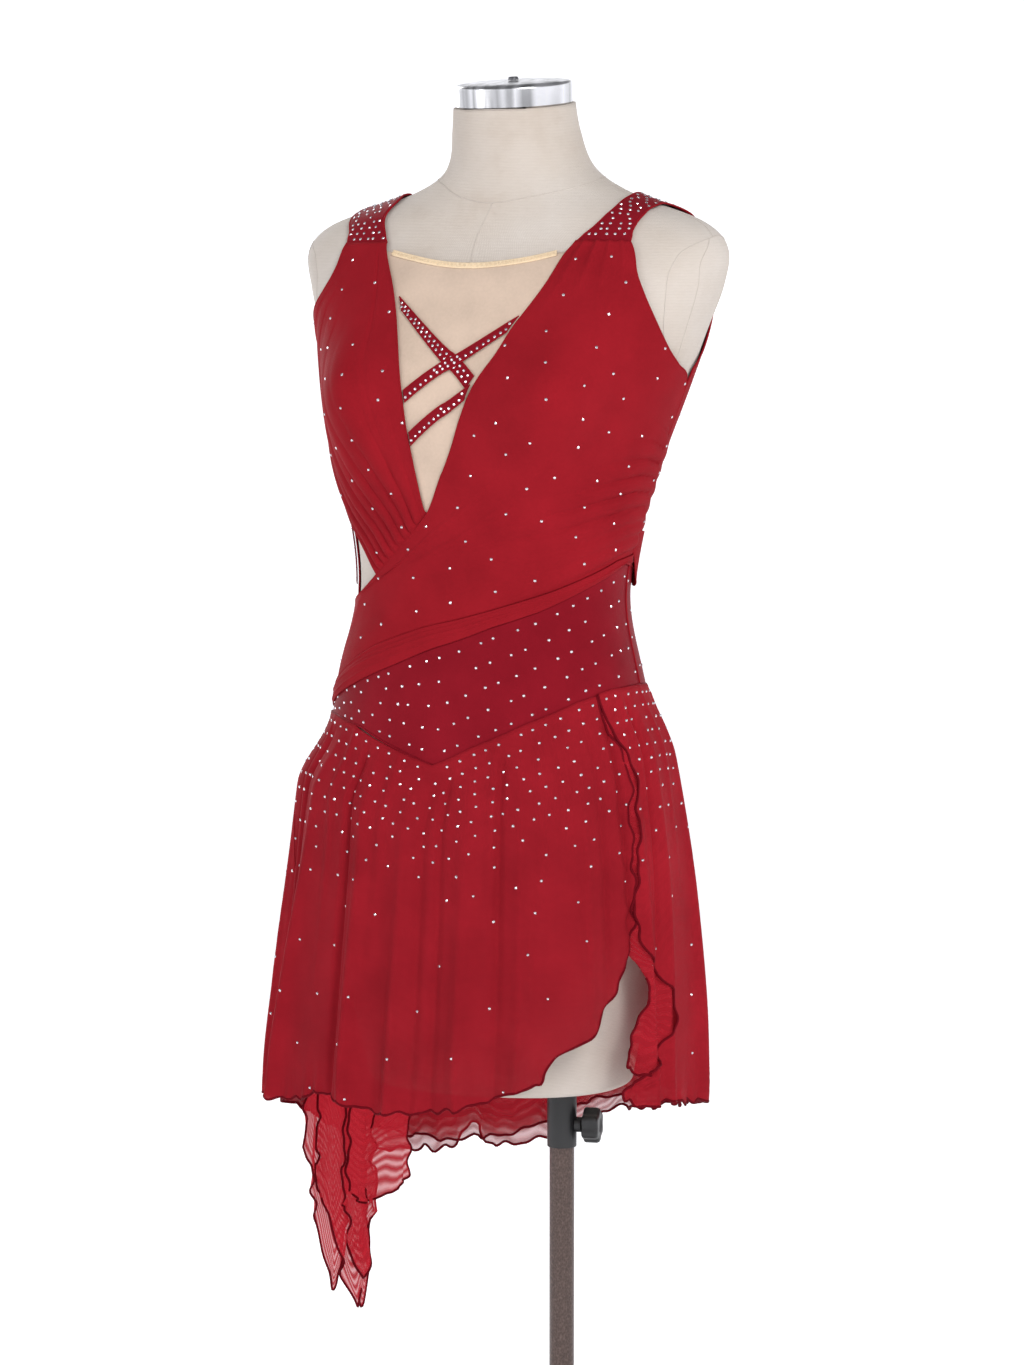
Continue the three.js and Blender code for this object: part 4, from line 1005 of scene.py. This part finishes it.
def build_fold():
    def roll(angle, v, z):
        creases = 0
        for spot, tilt, width, peak in ((0.3, 0.0012, 0.05, 0.5), (0.55, -0.0016, 0.045, 0.6),
                                        (0.78, 0.001, 0.04, 0.45)):
            creases = creases + peak * mound(v - spot - tilt * angle, width)
        ends = ease(v / 0.08) * ease((1 - v) / 0.08)
        lip = 0.9 * mound(v - 0.97, 0.06)
        return 1.3 * np.sin(math.pi * v) ** 0.8 + lip + creases * ends

    form_strip("bodice_fold", np.linspace(-82, 94, 150), lambda a: line_at(FOLD_LINE, a) + 0.2,
               lambda a: yoke_top(a) - 0.3, 28, LIFT["fronts"] + 0.3, roll, jersey,
               "wrap_fold", "folded")


NECK_BAND = [(-21, 1341), (-15, 1337), (-7, 1332), (-0.5, 1330), (6, 1332), (12.5, 1335.5),
             (18.8, 1340)]
BAND_WIDTH = 4.5


def build_insert():
    beside_right = [(a - 1, z) for a, z in RIGHT_V if z > 1150][:-1]
    beside_left = [(a + 1, z) for a, z in LEFT_V if z > 1150][:-2]
    form_panel("insert_mesh", {
        "top": [(-24.5, 1341), *NECK_BAND[1:-1], (23, 1340)],
        "left": [(-8.6, 1128), *beside_right, (-24.5, 1341)],
        "right": [(-5.4, 1128), *beside_left, (23, 1340)],
        "bottom": [(-8.6, 1128), (-5.4, 1128)],
    }, (50, 76), LIFT["insert"], None, 0.5, nude_mesh, "nude_insert")


def build_neck_band():
    """The elastic and the zigzag thread that sews it on."""
    low = [(a, z - BAND_WIDTH) for a, z in NECK_BAND]
    form_panel("neck_band", {
        "top": NECK_BAND, "bottom": low, "left": [low[0], NECK_BAND[0]],
        "right": [low[-1], NECK_BAND[-1]],
    }, (120, 7), LIFT["band"] - 0.7, None, 0.8, nude_band, "nude_neck_band",
        part_of="insert_mesh")
    outer, normal = GRIDS["neck_band"]
    middle = outer[3] + normal[3] * 0.25
    up = outer[5] - outer[1]
    count = 96
    spot = np.linspace(0, len(middle) - 1, count)
    lower = np.floor(spot).astype(int).clip(0, len(middle) - 2)
    part = (spot - lower)[:, None]
    swing = (0.42 * np.where(np.arange(count) % 2, 1, -1))[:, None]
    zigzag = mix(middle[lower], middle[lower + 1], part) + up[lower] * swing
    SHEETS["insert_mesh"]["with"].append(
        tube("neck_band_zigzag", zigzag, 0.28, thread))


def build_front_edges():
    for name, grid, which in (
            ("edge_right_v", "bodice_right", "right"), ("edge_right_arm", "bodice_right", "left"),
            ("edge_left_v", "bodice_left_wrap", "left"),
            ("edge_left_arm", "bodice_left_wrap", "right")):
        edge_roll(name, grid, which, 0.85, jersey)


# Corners of each crossing strap (right end low and high, left end low and high) and its lift.
CROSSING = {
    "a": ((-15, 1292), (-16, 1302.5), (5.2, 1230), (6.9, 1239.5), 2.4),
    "b": ((-11.1, 1219), (-11.5, 1228), (13.2, 1274.5), (14.8, 1286.5), 3.7),
    "c": ((-9.6, 1185), (-10, 1195), (5.4, 1221.5), (6.5, 1233), 3.7),
}
# The neck edge and the arm edge of each shoulder strap, from front to back.
SHOULDERS = {
    "left": (
        [(24.5, 1347), (28.5, 1354), (42, 1369.5), (66, 1382), (97, 1386), (125, 1375),
         (140, 1362), (149, 1347)],
        [(41, 1346.5), (44, 1356), (52, 1366), (67, 1374), (93, 1377), (118, 1366), (130, 1356),
         (136, 1347)]),
    "right": (
        [(-24.5, 1347), (-29, 1356.5), (-38, 1368.5), (-49, 1377.5), (-61, 1383.5),
         (-78, 1386.5), (-97, 1386.5), (-125, 1376), (-140, 1362), (-149, 1347)],
        [(-40, 1346.5), (-44.5, 1356.5), (-57, 1367.5), (-69, 1373.5), (-80, 1376.5),
         (-97, 1377), (-118, 1366), (-130, 1356), (-136, 1347)]),
}


def build_crossing_straps():
    def puffed(u, v):
        return 0.35 * np.sin(math.pi * v) ** 0.5

    for letter, (low_a, high_a, low_b, high_b, lift) in CROSSING.items():
        name = f"crossing_strap_{letter}"
        form_panel(name, {
            "top": [high_a, high_b], "bottom": [low_a, low_b],
            "left": [low_a, high_a], "right": [low_b, high_b],
        }, (70, 9), lift, puffed, 0.8, satin, f"cross_strap_{letter}",
            part_of="insert_mesh")
        for which in ("top", "bottom"):
            edge_roll(f"{name}_{which}_edge", name, which, 0.6, jersey)


def build_shoulder_straps():
    for side, (neck, arm) in SHOULDERS.items():
        u, v = grid_shares(18, 100)
        first, last = (neck, arm) if side == "left" else (arm, neck)
        a, b = path_through(first)(v), path_through(last)(v)
        name = f"strap_{side}"
        wall_on_form(name, mix(a[0], b[0], u), mix(a[1], b[1], u), LIFT["strap"], 0, CLOTH,
                     satin, f"shoulder_strap_{side}", "stretched")
        for which in ("left", "right"):
            edge_roll(f"{name}_{which}_edge", name, which, 0.8, jersey)


# Folds that gather to the left side seam: height at the seam, slope, half width, height.
BACK_GATHERS = [
    (1098, 0.62, 4.5, 1.3), (1112, 0.5, 5, 1.8), (1127, 0.42, 5, 1.5), (1142, 0.34, 5.5, 1.8),
    (1158, 0.27, 5.5, 1.4), (1173, 0.2, 6, 1.2),
]
# Cross folds at the small of the back: height in the middle, bow, half width, height.
BACK_CREASES = [(1064, 26, 6, 1.0), (1088, 20, 7, 1.2), (1114, 14, 7, 0.9)]


def build_back():
    knots = np.unique(np.concatenate([
        BACK_TOP[:, 0], np.linspace(93.8, 287.6, 130), [277.5, 284.6, 286.3]]))

    def foot(angle):
        side = np.interp(angle, [277.4, 280.3, 287.6], [975, 1012, 1065])
        return np.where(angle > 277.4, side, yoke_top(angle) - 0.3)

    def relief(angle, v, z):
        height = 0
        for start, slope, width, peak in BACK_GATHERS:
            centre = start + slope * (angle - 95)
            height = height + peak * mound(z - centre, width) * (1 - ease((angle - 95) / 70))
        for middle, bow, width, peak in BACK_CREASES:
            centre = middle + bow * np.sin(np.radians(angle - 180)) ** 2
            height = height + peak * mound(z - centre, width) * mound(angle - 186, 48)
        edge = ease(v / 0.06) * ease((1 - v) / 0.05)
        return (height + 0.3 * ripple(angle * 0.09, z * 0.02, 14)) * edge

    form_strip("bodice_back", knots, lambda a: line_at(BACK_TOP, a), foot, 140, LIFT["back"],
               relief, jersey, "back_bodice")
    edge_roll("edge_back_top", "bodice_back", "top", 0.85, jersey)


def build_drape():
    """The folded flap at the left side, and the edge strap of the cut-out at the right."""
    def drape(u, v):
        swell = 2.8 * np.sin(math.pi * np.minimum(u * 1.15, 1)) * (1 - 0.35 * v)
        return swell + 0.7 * np.sin(u * 15 + v * 3) * u * (1 - v)

    form_panel("drape_flap", {
        "top": [(95.5, 1114), (108, 1112), (122, 1105)],
        "bottom": [(95.5, 1095), (104, 1074), (113, 1066), (122, 1077)],
        "left": [(95.5, 1095), (95.5, 1114)], "right": [(122, 1077), (122, 1105)],
    }, (60, 44), LIFT["back"] + WALL + 0.2, drape, 0.8, jersey, "side_drape",
        "folded")
    edge_roll("drape_flap_edge", "drape_flap", "bottom", 0.6, jersey)
    form_panel("cutout_edge", {
        "top": [(-74.6, 1138), (-72.2, 1139)], "bottom": [(-74.6, 1064), (-72.2, 1067)],
        "left": [(-74.6, 1064), (-74.6, 1138)], "right": [(-72.2, 1067), (-72.2, 1139)],
    }, (8, 60), LIFT["back"] + WALL + 0.8, None, 0.8, satin, "cutout_strap",
        part_of="bodice_back")


def build_yoke():
    def smooth_satin(angle, v, z):
        return 0.15 * ripple(angle * 0.12, z * 0.05, 15)

    for name, start, end, node in (("yoke_front_panel", -82, 94.2, "yoke_front"),
                                   ("yoke_back_panel", 94.2, 278, "yoke_back")):
        form_strip(name, np.linspace(start, end, 150), lambda a: yoke_top(a) + 0.8, yoke_bottom,
                   42, LIFT["yoke"], smooth_satin, satin, node)
        for which, radius, high in (("top", 0.7, 0.75), ("bottom", 0.9, 0.6)):
            edge_roll(f"{name}_{which}_seam", name, which, radius, satin, lift=high)


def build_side_seams():
    """The upright side seams of the bodice and yoke."""
    seams = {
        "seam_side_left": [(94.1, 986), (94.1, 1040), (94.1, 1100), (94.1, 1170), (94.1, 1222)],
        "seam_side_right": [(-82, 950.5), (-82, 976), (-80.5, 1000), (-77, 1025), (-74, 1045)],
    }
    for name, points in seams.items():
        path = surface_path(points, 3.1, 80)
        SHEETS["bodice_back"]["with"].append(tube(name, path, 0.8, jersey, 8))


# Skirt panels: edges as (z, angle), hems as (angle, z), grid size, and where a panel has its
# own: lift from the outer layer, size of its hem's waves, the side that its slit is on, the
# height below which the slit's edge is wavy, and how far below the yoke's seam it starts.
EDGE_RIGHT_FRONT = [(620, -56), (700, -55), (820, -58), (903, -66), (960, -70)]
EDGE_SLIT_FRONT = [
    (655, 29), (665, 34), (688, 39.5), (697, 45), (708, 50), (719, 53), (736, 57), (748, 59.5),
    (763, 62.5), (781, 64.5), (800, 65.5), (850, 66), (885, 66), (906, 67.5), (929, 66.5),
    (952, 63.5), (980, 62),
]
EDGE_SLIT_LEFT = [
    (640, 57), (658, 62), (668, 68), (683, 74), (705, 80), (723, 82), (740, 80), (755, 74.5),
    (771, 69.5), (797, 66.2), (830, 67), (857, 68.5), (885, 69), (905, 71), (924, 69.5),
    (950, 65.5), (980, 63),
]
EDGE_LEFT_BACK = [(560, 130), (980, 124)]
EDGE_BACK_RIGHT = [(520, 250), (980, 256)]
UNDER_FRONT = [
    (640, 60), (660, 62), (690, 64.5), (718, 68), (741, 70), (756, 68), (771, 64), (797, 61),
    (830, 59), (980, 58),
]
SKIRTS = {
    "skirt_front_panel": dict(
        node="skirt_front", right=EDGE_RIGHT_FRONT, left=EDGE_SLIT_FRONT, size=(182, 122),
        slit="right",
        hem=[(-56, 634), (-50, 633), (-36, 638), (-26, 647), (-16, 644), (-8, 639), (0, 638),
             (12, 643), (24, 652), (34, 668)]),
    "skirt_left_panel": dict(
        node="skirt_left", right=EDGE_SLIT_LEFT, left=EDGE_LEFT_BACK, size=(100, 122),
        slit="left", cloth=mesh_side,
        hem=[(62, 655), (69, 646), (74, 643), (80, 645), (86, 642), (104, 634), (130, 618)]),
    "skirt_back_panel": dict(
        node="skirt_back", right=EDGE_LEFT_BACK, left=EDGE_BACK_RIGHT, size=(188, 98),
        wave=1.9, cloth=mesh_under,
        hem=[(130, 618), (150, 604), (168, 591), (174, 577), (189, 557), (199, 556), (201, 567),
             (206, 566), (208, 553), (216, 548), (222, 550), (231, 553), (240, 562), (250, 584)]),
    "skirt_right_panel": dict(
        node="skirt_right", right=[(z, a - 360) for z, a in EDGE_BACK_RIGHT],
        left=EDGE_RIGHT_FRONT, size=(92, 98), cloth=mesh_side,
        hem=[(-110, 586), (-96, 604), (-80, 622), (-67, 630), (-56, 634)]),
    "skirt_under_layer": dict(
        node="skirt_back_under", right=UNDER_FRONT, left=EDGE_BACK_RIGHT, size=(182, 90),
        lift=-5.0, slit="left", calm=715, wave=1.5, cloth=mesh_under, start=9.0,
        hem=[(58, 676), (72, 662), (86, 656), (130, 632), (168, 602), (189, 568), (216, 560),
             (250, 600)]),
}
# The tail's points hang in one stack, each a little further in than the last.
TAILS = {
    "tail_point_left": dict(node="tail_left_point", lift=-6.6, hem=[
        (-116, 505), (-115, 485), (-113.5, 461), (-112, 444), (-110.5, 430), (-109, 449),
        (-107.6, 468), (-106.6, 491), (-104, 518), (-99.5, 548), (-97.8, 562), (-97, 590)]),
    "tail_point_middle": dict(node="tail_middle_point", lift=-8.9, hem=[
        (-124.2, 478), (-123.5, 450), (-122.8, 426), (-121.7, 411), (-119.5, 430),
        (-117.3, 415), (-115.3, 437), (-113.5, 452), (-110.5, 476), (-108.5, 503),
        (-105.8, 524)]),
    "tail_point_right": dict(node="tail_right_point", lift=-10.45, hem=[
        (-126.4, 520), (-125.8, 490), (-124.5, 470), (-122.5, 450), (-120.5, 439),
        (-117.8, 454), (-115.8, 475), (-113.5, 502)]),
    "tail_fold_back": dict(node="tail_back_fold", lift=-12.0, hem=[
        (-137.5, 530), (-133.3, 518), (-129, 512), (-124.5, 505), (-118.8, 510),
        (-115.3, 520)]),
}
TAIL_TOP = 660
# The rolled hem's waves: degrees from one to the next, and how fast they die out above it.
HEM_WAVE, HEM_FADE = 7.5, 13


def lettuce(angle, above, size, seed):
    """The rolled hem's small uneven waves, which die out above it."""
    pace = 2 * math.pi / HEM_WAVE
    wave = (np.sin(pace * angle + 1.3 * np.sin(angle * 0.21 + seed))
            + 0.5 * np.sin(pace * 1.7 * angle + seed))
    return size * wave * np.exp(-above / HEM_FADE)


def wavy_edge(z, distance, size, seed):
    """The same waves along an upright edge, with the distance from it in degrees."""
    wave = np.sin(z / 5.3 + 1.2 * np.sin(z * 0.031 + seed)) + 0.5 * np.sin(z / 2.9 + seed)
    return size * wave * np.exp(-distance / 3.0)


def hang(name, angle, z, lift, wave, material, node):
    """A hanging panel: a thin wall on the skirt's surface, moved out by its waves."""
    base = on_skirt(angle, z, lift)
    out = level_out(np.gradient(base, axis=1))
    outer = base + out * (wave + HANGING_CLOTH)[..., None]
    GRIDS[name] = (outer, out)
    cloth_object(name, outer, base + out * wave[..., None], material, [node], "hung")


def build_skirt():
    for k, (name, s) in enumerate(SKIRTS.items()):
        u, v = grid_shares(*s["size"], crowd_low=True)
        right, left, hem = (np.asarray(s[key], float) for key in ("right", "left", "hem"))
        guess = mix(line_at(right, 900), line_at(left, 900), u)
        top = yoke_bottom(guess) - s.get("start", -1.2)
        size = s.get("wave", 1.3)
        hem_angle = mix(hem[0, 0], hem[-1, 0], u)
        hem_z = smooth_at(hem, 1, hem_angle) + 1.1 * lettuce(hem_angle + 2, 0, size, k + 3)
        z = mix(hem_z, top, v)
        angle = mix(smooth_at(right, 1, z), smooth_at(left, 1, z), u)
        wave = lettuce(angle, z - hem_z, size, k)
        slit = s.get("slit")
        if slit:
            distance = (1 - u if slit == "right" else u) * abs(left[0, 1] - right[0, 1])
            low = 1 - ease((z - s.get("calm", 930)) / 40)
            wave = wave + wavy_edge(z, distance, 1.4, k) * low
            angle = angle + wavy_edge(z + 9, distance, 0.55, k + 1) * low
        lift = s.get("lift", 0.0)
        if name == "skirt_under_layer":
            # Close behind the slit the inner layer lies against the outer one.
            lift = lift + 2.4 * (1 - ease((angle - 76) / 14))
        hang(name, angle, z, lift, wave, s.get("cloth", mesh_front), s["node"])
        edge_roll(f"{name}_hem", name, "bottom", 1.2, edging)
        if slit:
            edge_roll(f"{name}_slit_edge", name, slit, 1.15, edging,
                      below=s.get("calm", 990) + 35)
    for side in ("right", "back", "left"):
        edge_roll(f"seam_skirt_{side}", f"skirt_{side}_panel", "right", 0.55, mesh_front,
                  lift=0.25)


def build_tails():
    for k, (name, s) in enumerate(TAILS.items()):
        hem = np.asarray(s["hem"], float)
        u, v = grid_shares(58, 74, crowd_low=True)
        angle = mix(hem[0, 0], hem[-1, 0], u)
        hem_z = smooth_at(hem, 1, angle)
        z = mix(hem_z, TAIL_TOP, v)
        wave = lettuce(angle * 1.6, z - hem_z, 2.2, 5 + k)
        wave = wave + 1.6 * np.sin(angle * 0.9 + z * 0.05 + k) * (1 - v) ** 1.5
        # All four points twist together below the skirt's hem.
        wave = wave + 4.5 * np.sin(angle * 0.42 + z * 0.055) * ease((545 - z) / 90)
        span = abs(hem[-1, 0] - hem[0, 0])
        for distance, seed in ((u * span, k), ((1 - u) * span, k + 2)):
            angle = angle + wavy_edge(z, distance * 2, 0.7, seed)
        hang(name, angle, z, s["lift"], wave, mesh_tail, s["node"])
        for which in ("bottom", "left", "right"):
            edge_roll(f"{name}_{which}_hem", name, which, 1.05, edging)


# ----------------------------------------------------------------- stones


def stones_on(grid, spacing, rng, size=1.25, jitter=0.27, rows=None):
    """Spots in staggered rows over a grid, or in rows at given shares of its height. The
    spacing is in millimetres along the cloth and may change with the drop from its top."""
    outer, normal = GRIDS[grid]
    count_v, count_u = outer.shape[:2]
    step = np.linalg.norm(np.diff(outer, axis=0), axis=-1).mean(1)
    height = np.concatenate([[0], np.cumsum(step)])
    spaced = spacing if callable(spacing) else lambda drop: spacing
    if rows is None:
        levels, drop = [], spaced(0) * 0.45
        while drop < height[-1] - 3:
            levels.append(height[-1] - drop)
            drop += spaced(drop) * 0.82
    else:
        levels = [height[-1] * share for share in rows]
    spots = []
    for row, level in enumerate(levels):
        r = np.interp(level, height, np.arange(count_v))
        under = min(int(r), count_v - 2)
        line = mix(outer[under], outer[under + 1], r - under)
        lift = mix(normal[under], normal[under + 1], r - under)
        run = np.concatenate([[0], np.cumsum(np.linalg.norm(np.diff(line, axis=0), axis=-1))])
        gap = spaced(height[-1] - level)
        for along in np.arange(gap * (0.3 + 0.5 * (row % 2)), run[-1] - 2.5, gap):
            along = np.clip(along + rng.uniform(-jitter, jitter) * gap, 2.0, run[-1] - 2.0)
            p = np.array([np.interp(along, run, line[:, k]) for k in range(3)])
            n = np.array([np.interp(along, run, lift[:, k]) for k in range(3)])
            n /= max(np.linalg.norm(n), 1e-9)
            if all(np.linalg.norm(p - q) > gap * 0.6 for q, _, _ in spots):
                spots.append((p, n, size * rng.uniform(0.92, 1.08)))
    return spots


def stone_object(name, spots, rng):
    """Flat-backed faceted stones, joined: eight sides, a bevel and a table."""
    sides = 8
    turn = full_turn(sides)
    shape = np.concatenate([
        np.stack([r * np.cos(turn + twist), r * np.sin(turn + twist), 0 * turn + high], -1)
        for r, high, twist in ((1, -0.25, 0), (1, 0.12, 0), (0.55, 0.55, 0.39))])
    faces = []
    for k in range(sides):
        n = (k + 1) % sides
        faces.append([k, n, sides + n, sides + k])
        faces.append([sides + k, sides + n, 2 * sides + k])
        faces.append([sides + n, 2 * sides + n, 2 * sides + k])
    faces.append([2 * sides + k for k in range(sides)])
    verts, polys = [], []
    for p, n, size in spots:
        helper = np.array([0, 0, 1.0]) if abs(n[2]) < 0.9 else np.array([1.0, 0, 0])
        x = np.cross(helper, n)
        x /= np.linalg.norm(x)
        y = np.cross(n, x)
        a = rng.uniform(0, math.pi)
        x, y = x * math.cos(a) + y * math.sin(a), y * math.cos(a) - x * math.sin(a)
        start = len(verts) * len(shape)
        verts.append(p + size * (shape[:, :1] * x + shape[:, 1:2] * y + shape[:, 2:] * n))
        polys += [[q + start for q in f] for f in faces]
    new_object(name, np.concatenate(verts) * MM, polys, stone, smooth=False)


def build_stones():
    rng = np.random.default_rng(21)

    def falling(drop):
        return float(np.interp(drop, [0, 70, 110, 160, 210], [13.6, 15, 25, 43, 62]))

    groups = {
        "stones_bodice": (("bodice_right", 36), ("bodice_left_wrap", 38), ("bodice_back", 38),
                          ("bodice_fold", 42)),
        "stones_yoke": (("yoke_front_panel", 16.5), ("yoke_back_panel", 16.5)),
        "stones_skirt": tuple((name, falling) for name in (
            "skirt_front_panel", "skirt_left_panel", "skirt_back_panel", "skirt_right_panel")),
        "stones_shoulders": (("strap_left", 7.6), ("strap_right", 7.6)),
    }
    for name, parts in groups.items():
        found = []
        for grid, spacing in parts:
            found += stones_on(grid, spacing, rng)
        stone_object(name, found, rng)
    found = []
    for letter in CROSSING:
        found += stones_on(f"crossing_strap_{letter}", 5.6, rng, 1.2, 0.06, rows=[0.3, 0.7])
    found += stones_on("cutout_edge", 5, rng, 1.2, 0.05)
    stone_object("stones_crossing", found, rng)


# ------------------------------------------------------- camera and light


# Degrees from straight ahead and downward, metres from the pole's foot, and the focal length
# and height of the photo in pixels.
CAMERA = dict(azimuth=25.0, pitch=5.18, back=3.5, side=-0.042, up=1.301, focal=4217, height=1365)
SENSOR = 36
# Radius and height of the floor, which curves up into a backdrop, in metres.
FLOOR = [(0.3, 0), (1.5, 0), (4, 0), (9, 0), (14, 0), (17, 0.4), (19, 1.6), (20, 4), (20, 9)]
FLOOR_DROP = 0.0006
# Degrees from straight ahead, height, distance, size and power of each lamp.
LAMPS = {
    "key": (48, 2.8, 2.9, (0.9, 1.3), 64),
    "fill": (-35, 1.7, 3.2, (1.4, 2.4), 13),
    "rear_right": (235, 2.3, 3.2, (1.4, 2.0), 36),
}
LAMP_AIM = Vector((-0.05, 0, 1.05))


def look_from(name, data, spot, look):
    """Puts a camera or lamp at a spot, looking along a direction."""
    item = bpy.data.objects.new(name, data)
    bpy.context.scene.collection.objects.link(item)
    item.location = spot
    item.rotation_mode = "QUATERNION"
    item.rotation_quaternion = look.to_track_quat("-Z", "Y")
    return item


def build_camera():
    azimuth, pitch = math.radians(CAMERA["azimuth"]), math.radians(CAMERA["pitch"])
    right = Vector((math.cos(azimuth), math.sin(azimuth), 0))
    back = Vector((math.sin(azimuth), -math.cos(azimuth), 0))
    data = bpy.data.cameras.new("camera")
    data.sensor_width = SENSOR
    data.lens = SENSOR * CAMERA["focal"] / CAMERA["height"]
    spot = back * CAMERA["back"] + right * CAMERA["side"] + Vector((0, 0, CAMERA["up"]))
    bpy.context.scene.camera = look_from(
        "camera", data, spot, -back * math.cos(pitch) - Vector((0, 0, math.sin(pitch))))


def build_floor():
    """A pale floor whose glow is lower round the stand, a painted shade there, so that its soft
    shadow shows.
    """
    n = Nodes("pale floor", (0.8, 0.8, 0.81), 0.9, Emission_Color=(0.97, 0.975, 1.0))
    n.colour(n.ramp(n.noise(n.place(), 0.8, 2), [(0.3, (0.79, 0.79, 0.8)),
                                                 (0.7, (0.81, 0.81, 0.82))]))
    # Painted shade: a spherical gradient lowers the floor's glow towards the stand.
    near = n.texture("ShaderNodeTexGradient", n.place((0.65, 0.65, 0.65)),
                     gradient_type="SPHERICAL")
    glow = n.math("SUBTRACT", 0.68, n.math("MULTIPLY", near.outputs["Fac"], 0.5))
    n.feed(n.shader.inputs["Emission Strength"], glow)
    segments = 96
    faces = quads(len(FLOOR), segments, closed=True).tolist()
    faces.append(list(range(segments))[::-1])
    verts = turned_rings(FLOOR, segments) - [0, 0, FLOOR_DROP]
    new_object("pale_floor", verts, faces, n.material, body=None)


def build_light():
    world = bpy.data.worlds.new("studio")
    bpy.context.scene.world = world
    world.use_nodes = True
    room = world.node_tree.nodes["Background"]
    room.inputs["Color"].default_value = (0.96, 0.965, 1.0, 1)
    room.inputs["Strength"].default_value = 0.27
    for name, (angle, high, far, size, power) in LAMPS.items():
        data = bpy.data.lights.new(name, "AREA")
        data.shape = "RECTANGLE"
        data.size, data.size_y = size
        data.energy = power
        t = math.radians(angle)
        spot = Vector((math.sin(t) * far, -math.cos(t) * far, high))
        look_from(name, data, spot, LAMP_AIM - spot)
    bpy.context.scene.view_settings.view_transform = "Standard"


build_camera()
build_floor()
build_light()
build_form()
build_form_seams()
build_cap()
build_stand()
build_collar()
build_knob()
build_right_front()
build_left_wrap()
build_fold()
build_insert()
build_neck_band()
build_crossing_straps()
build_shoulder_straps()
build_front_edges()
build_back()
build_drape()
build_yoke()
build_side_seams()
build_skirt()
build_tails()
build_stones()
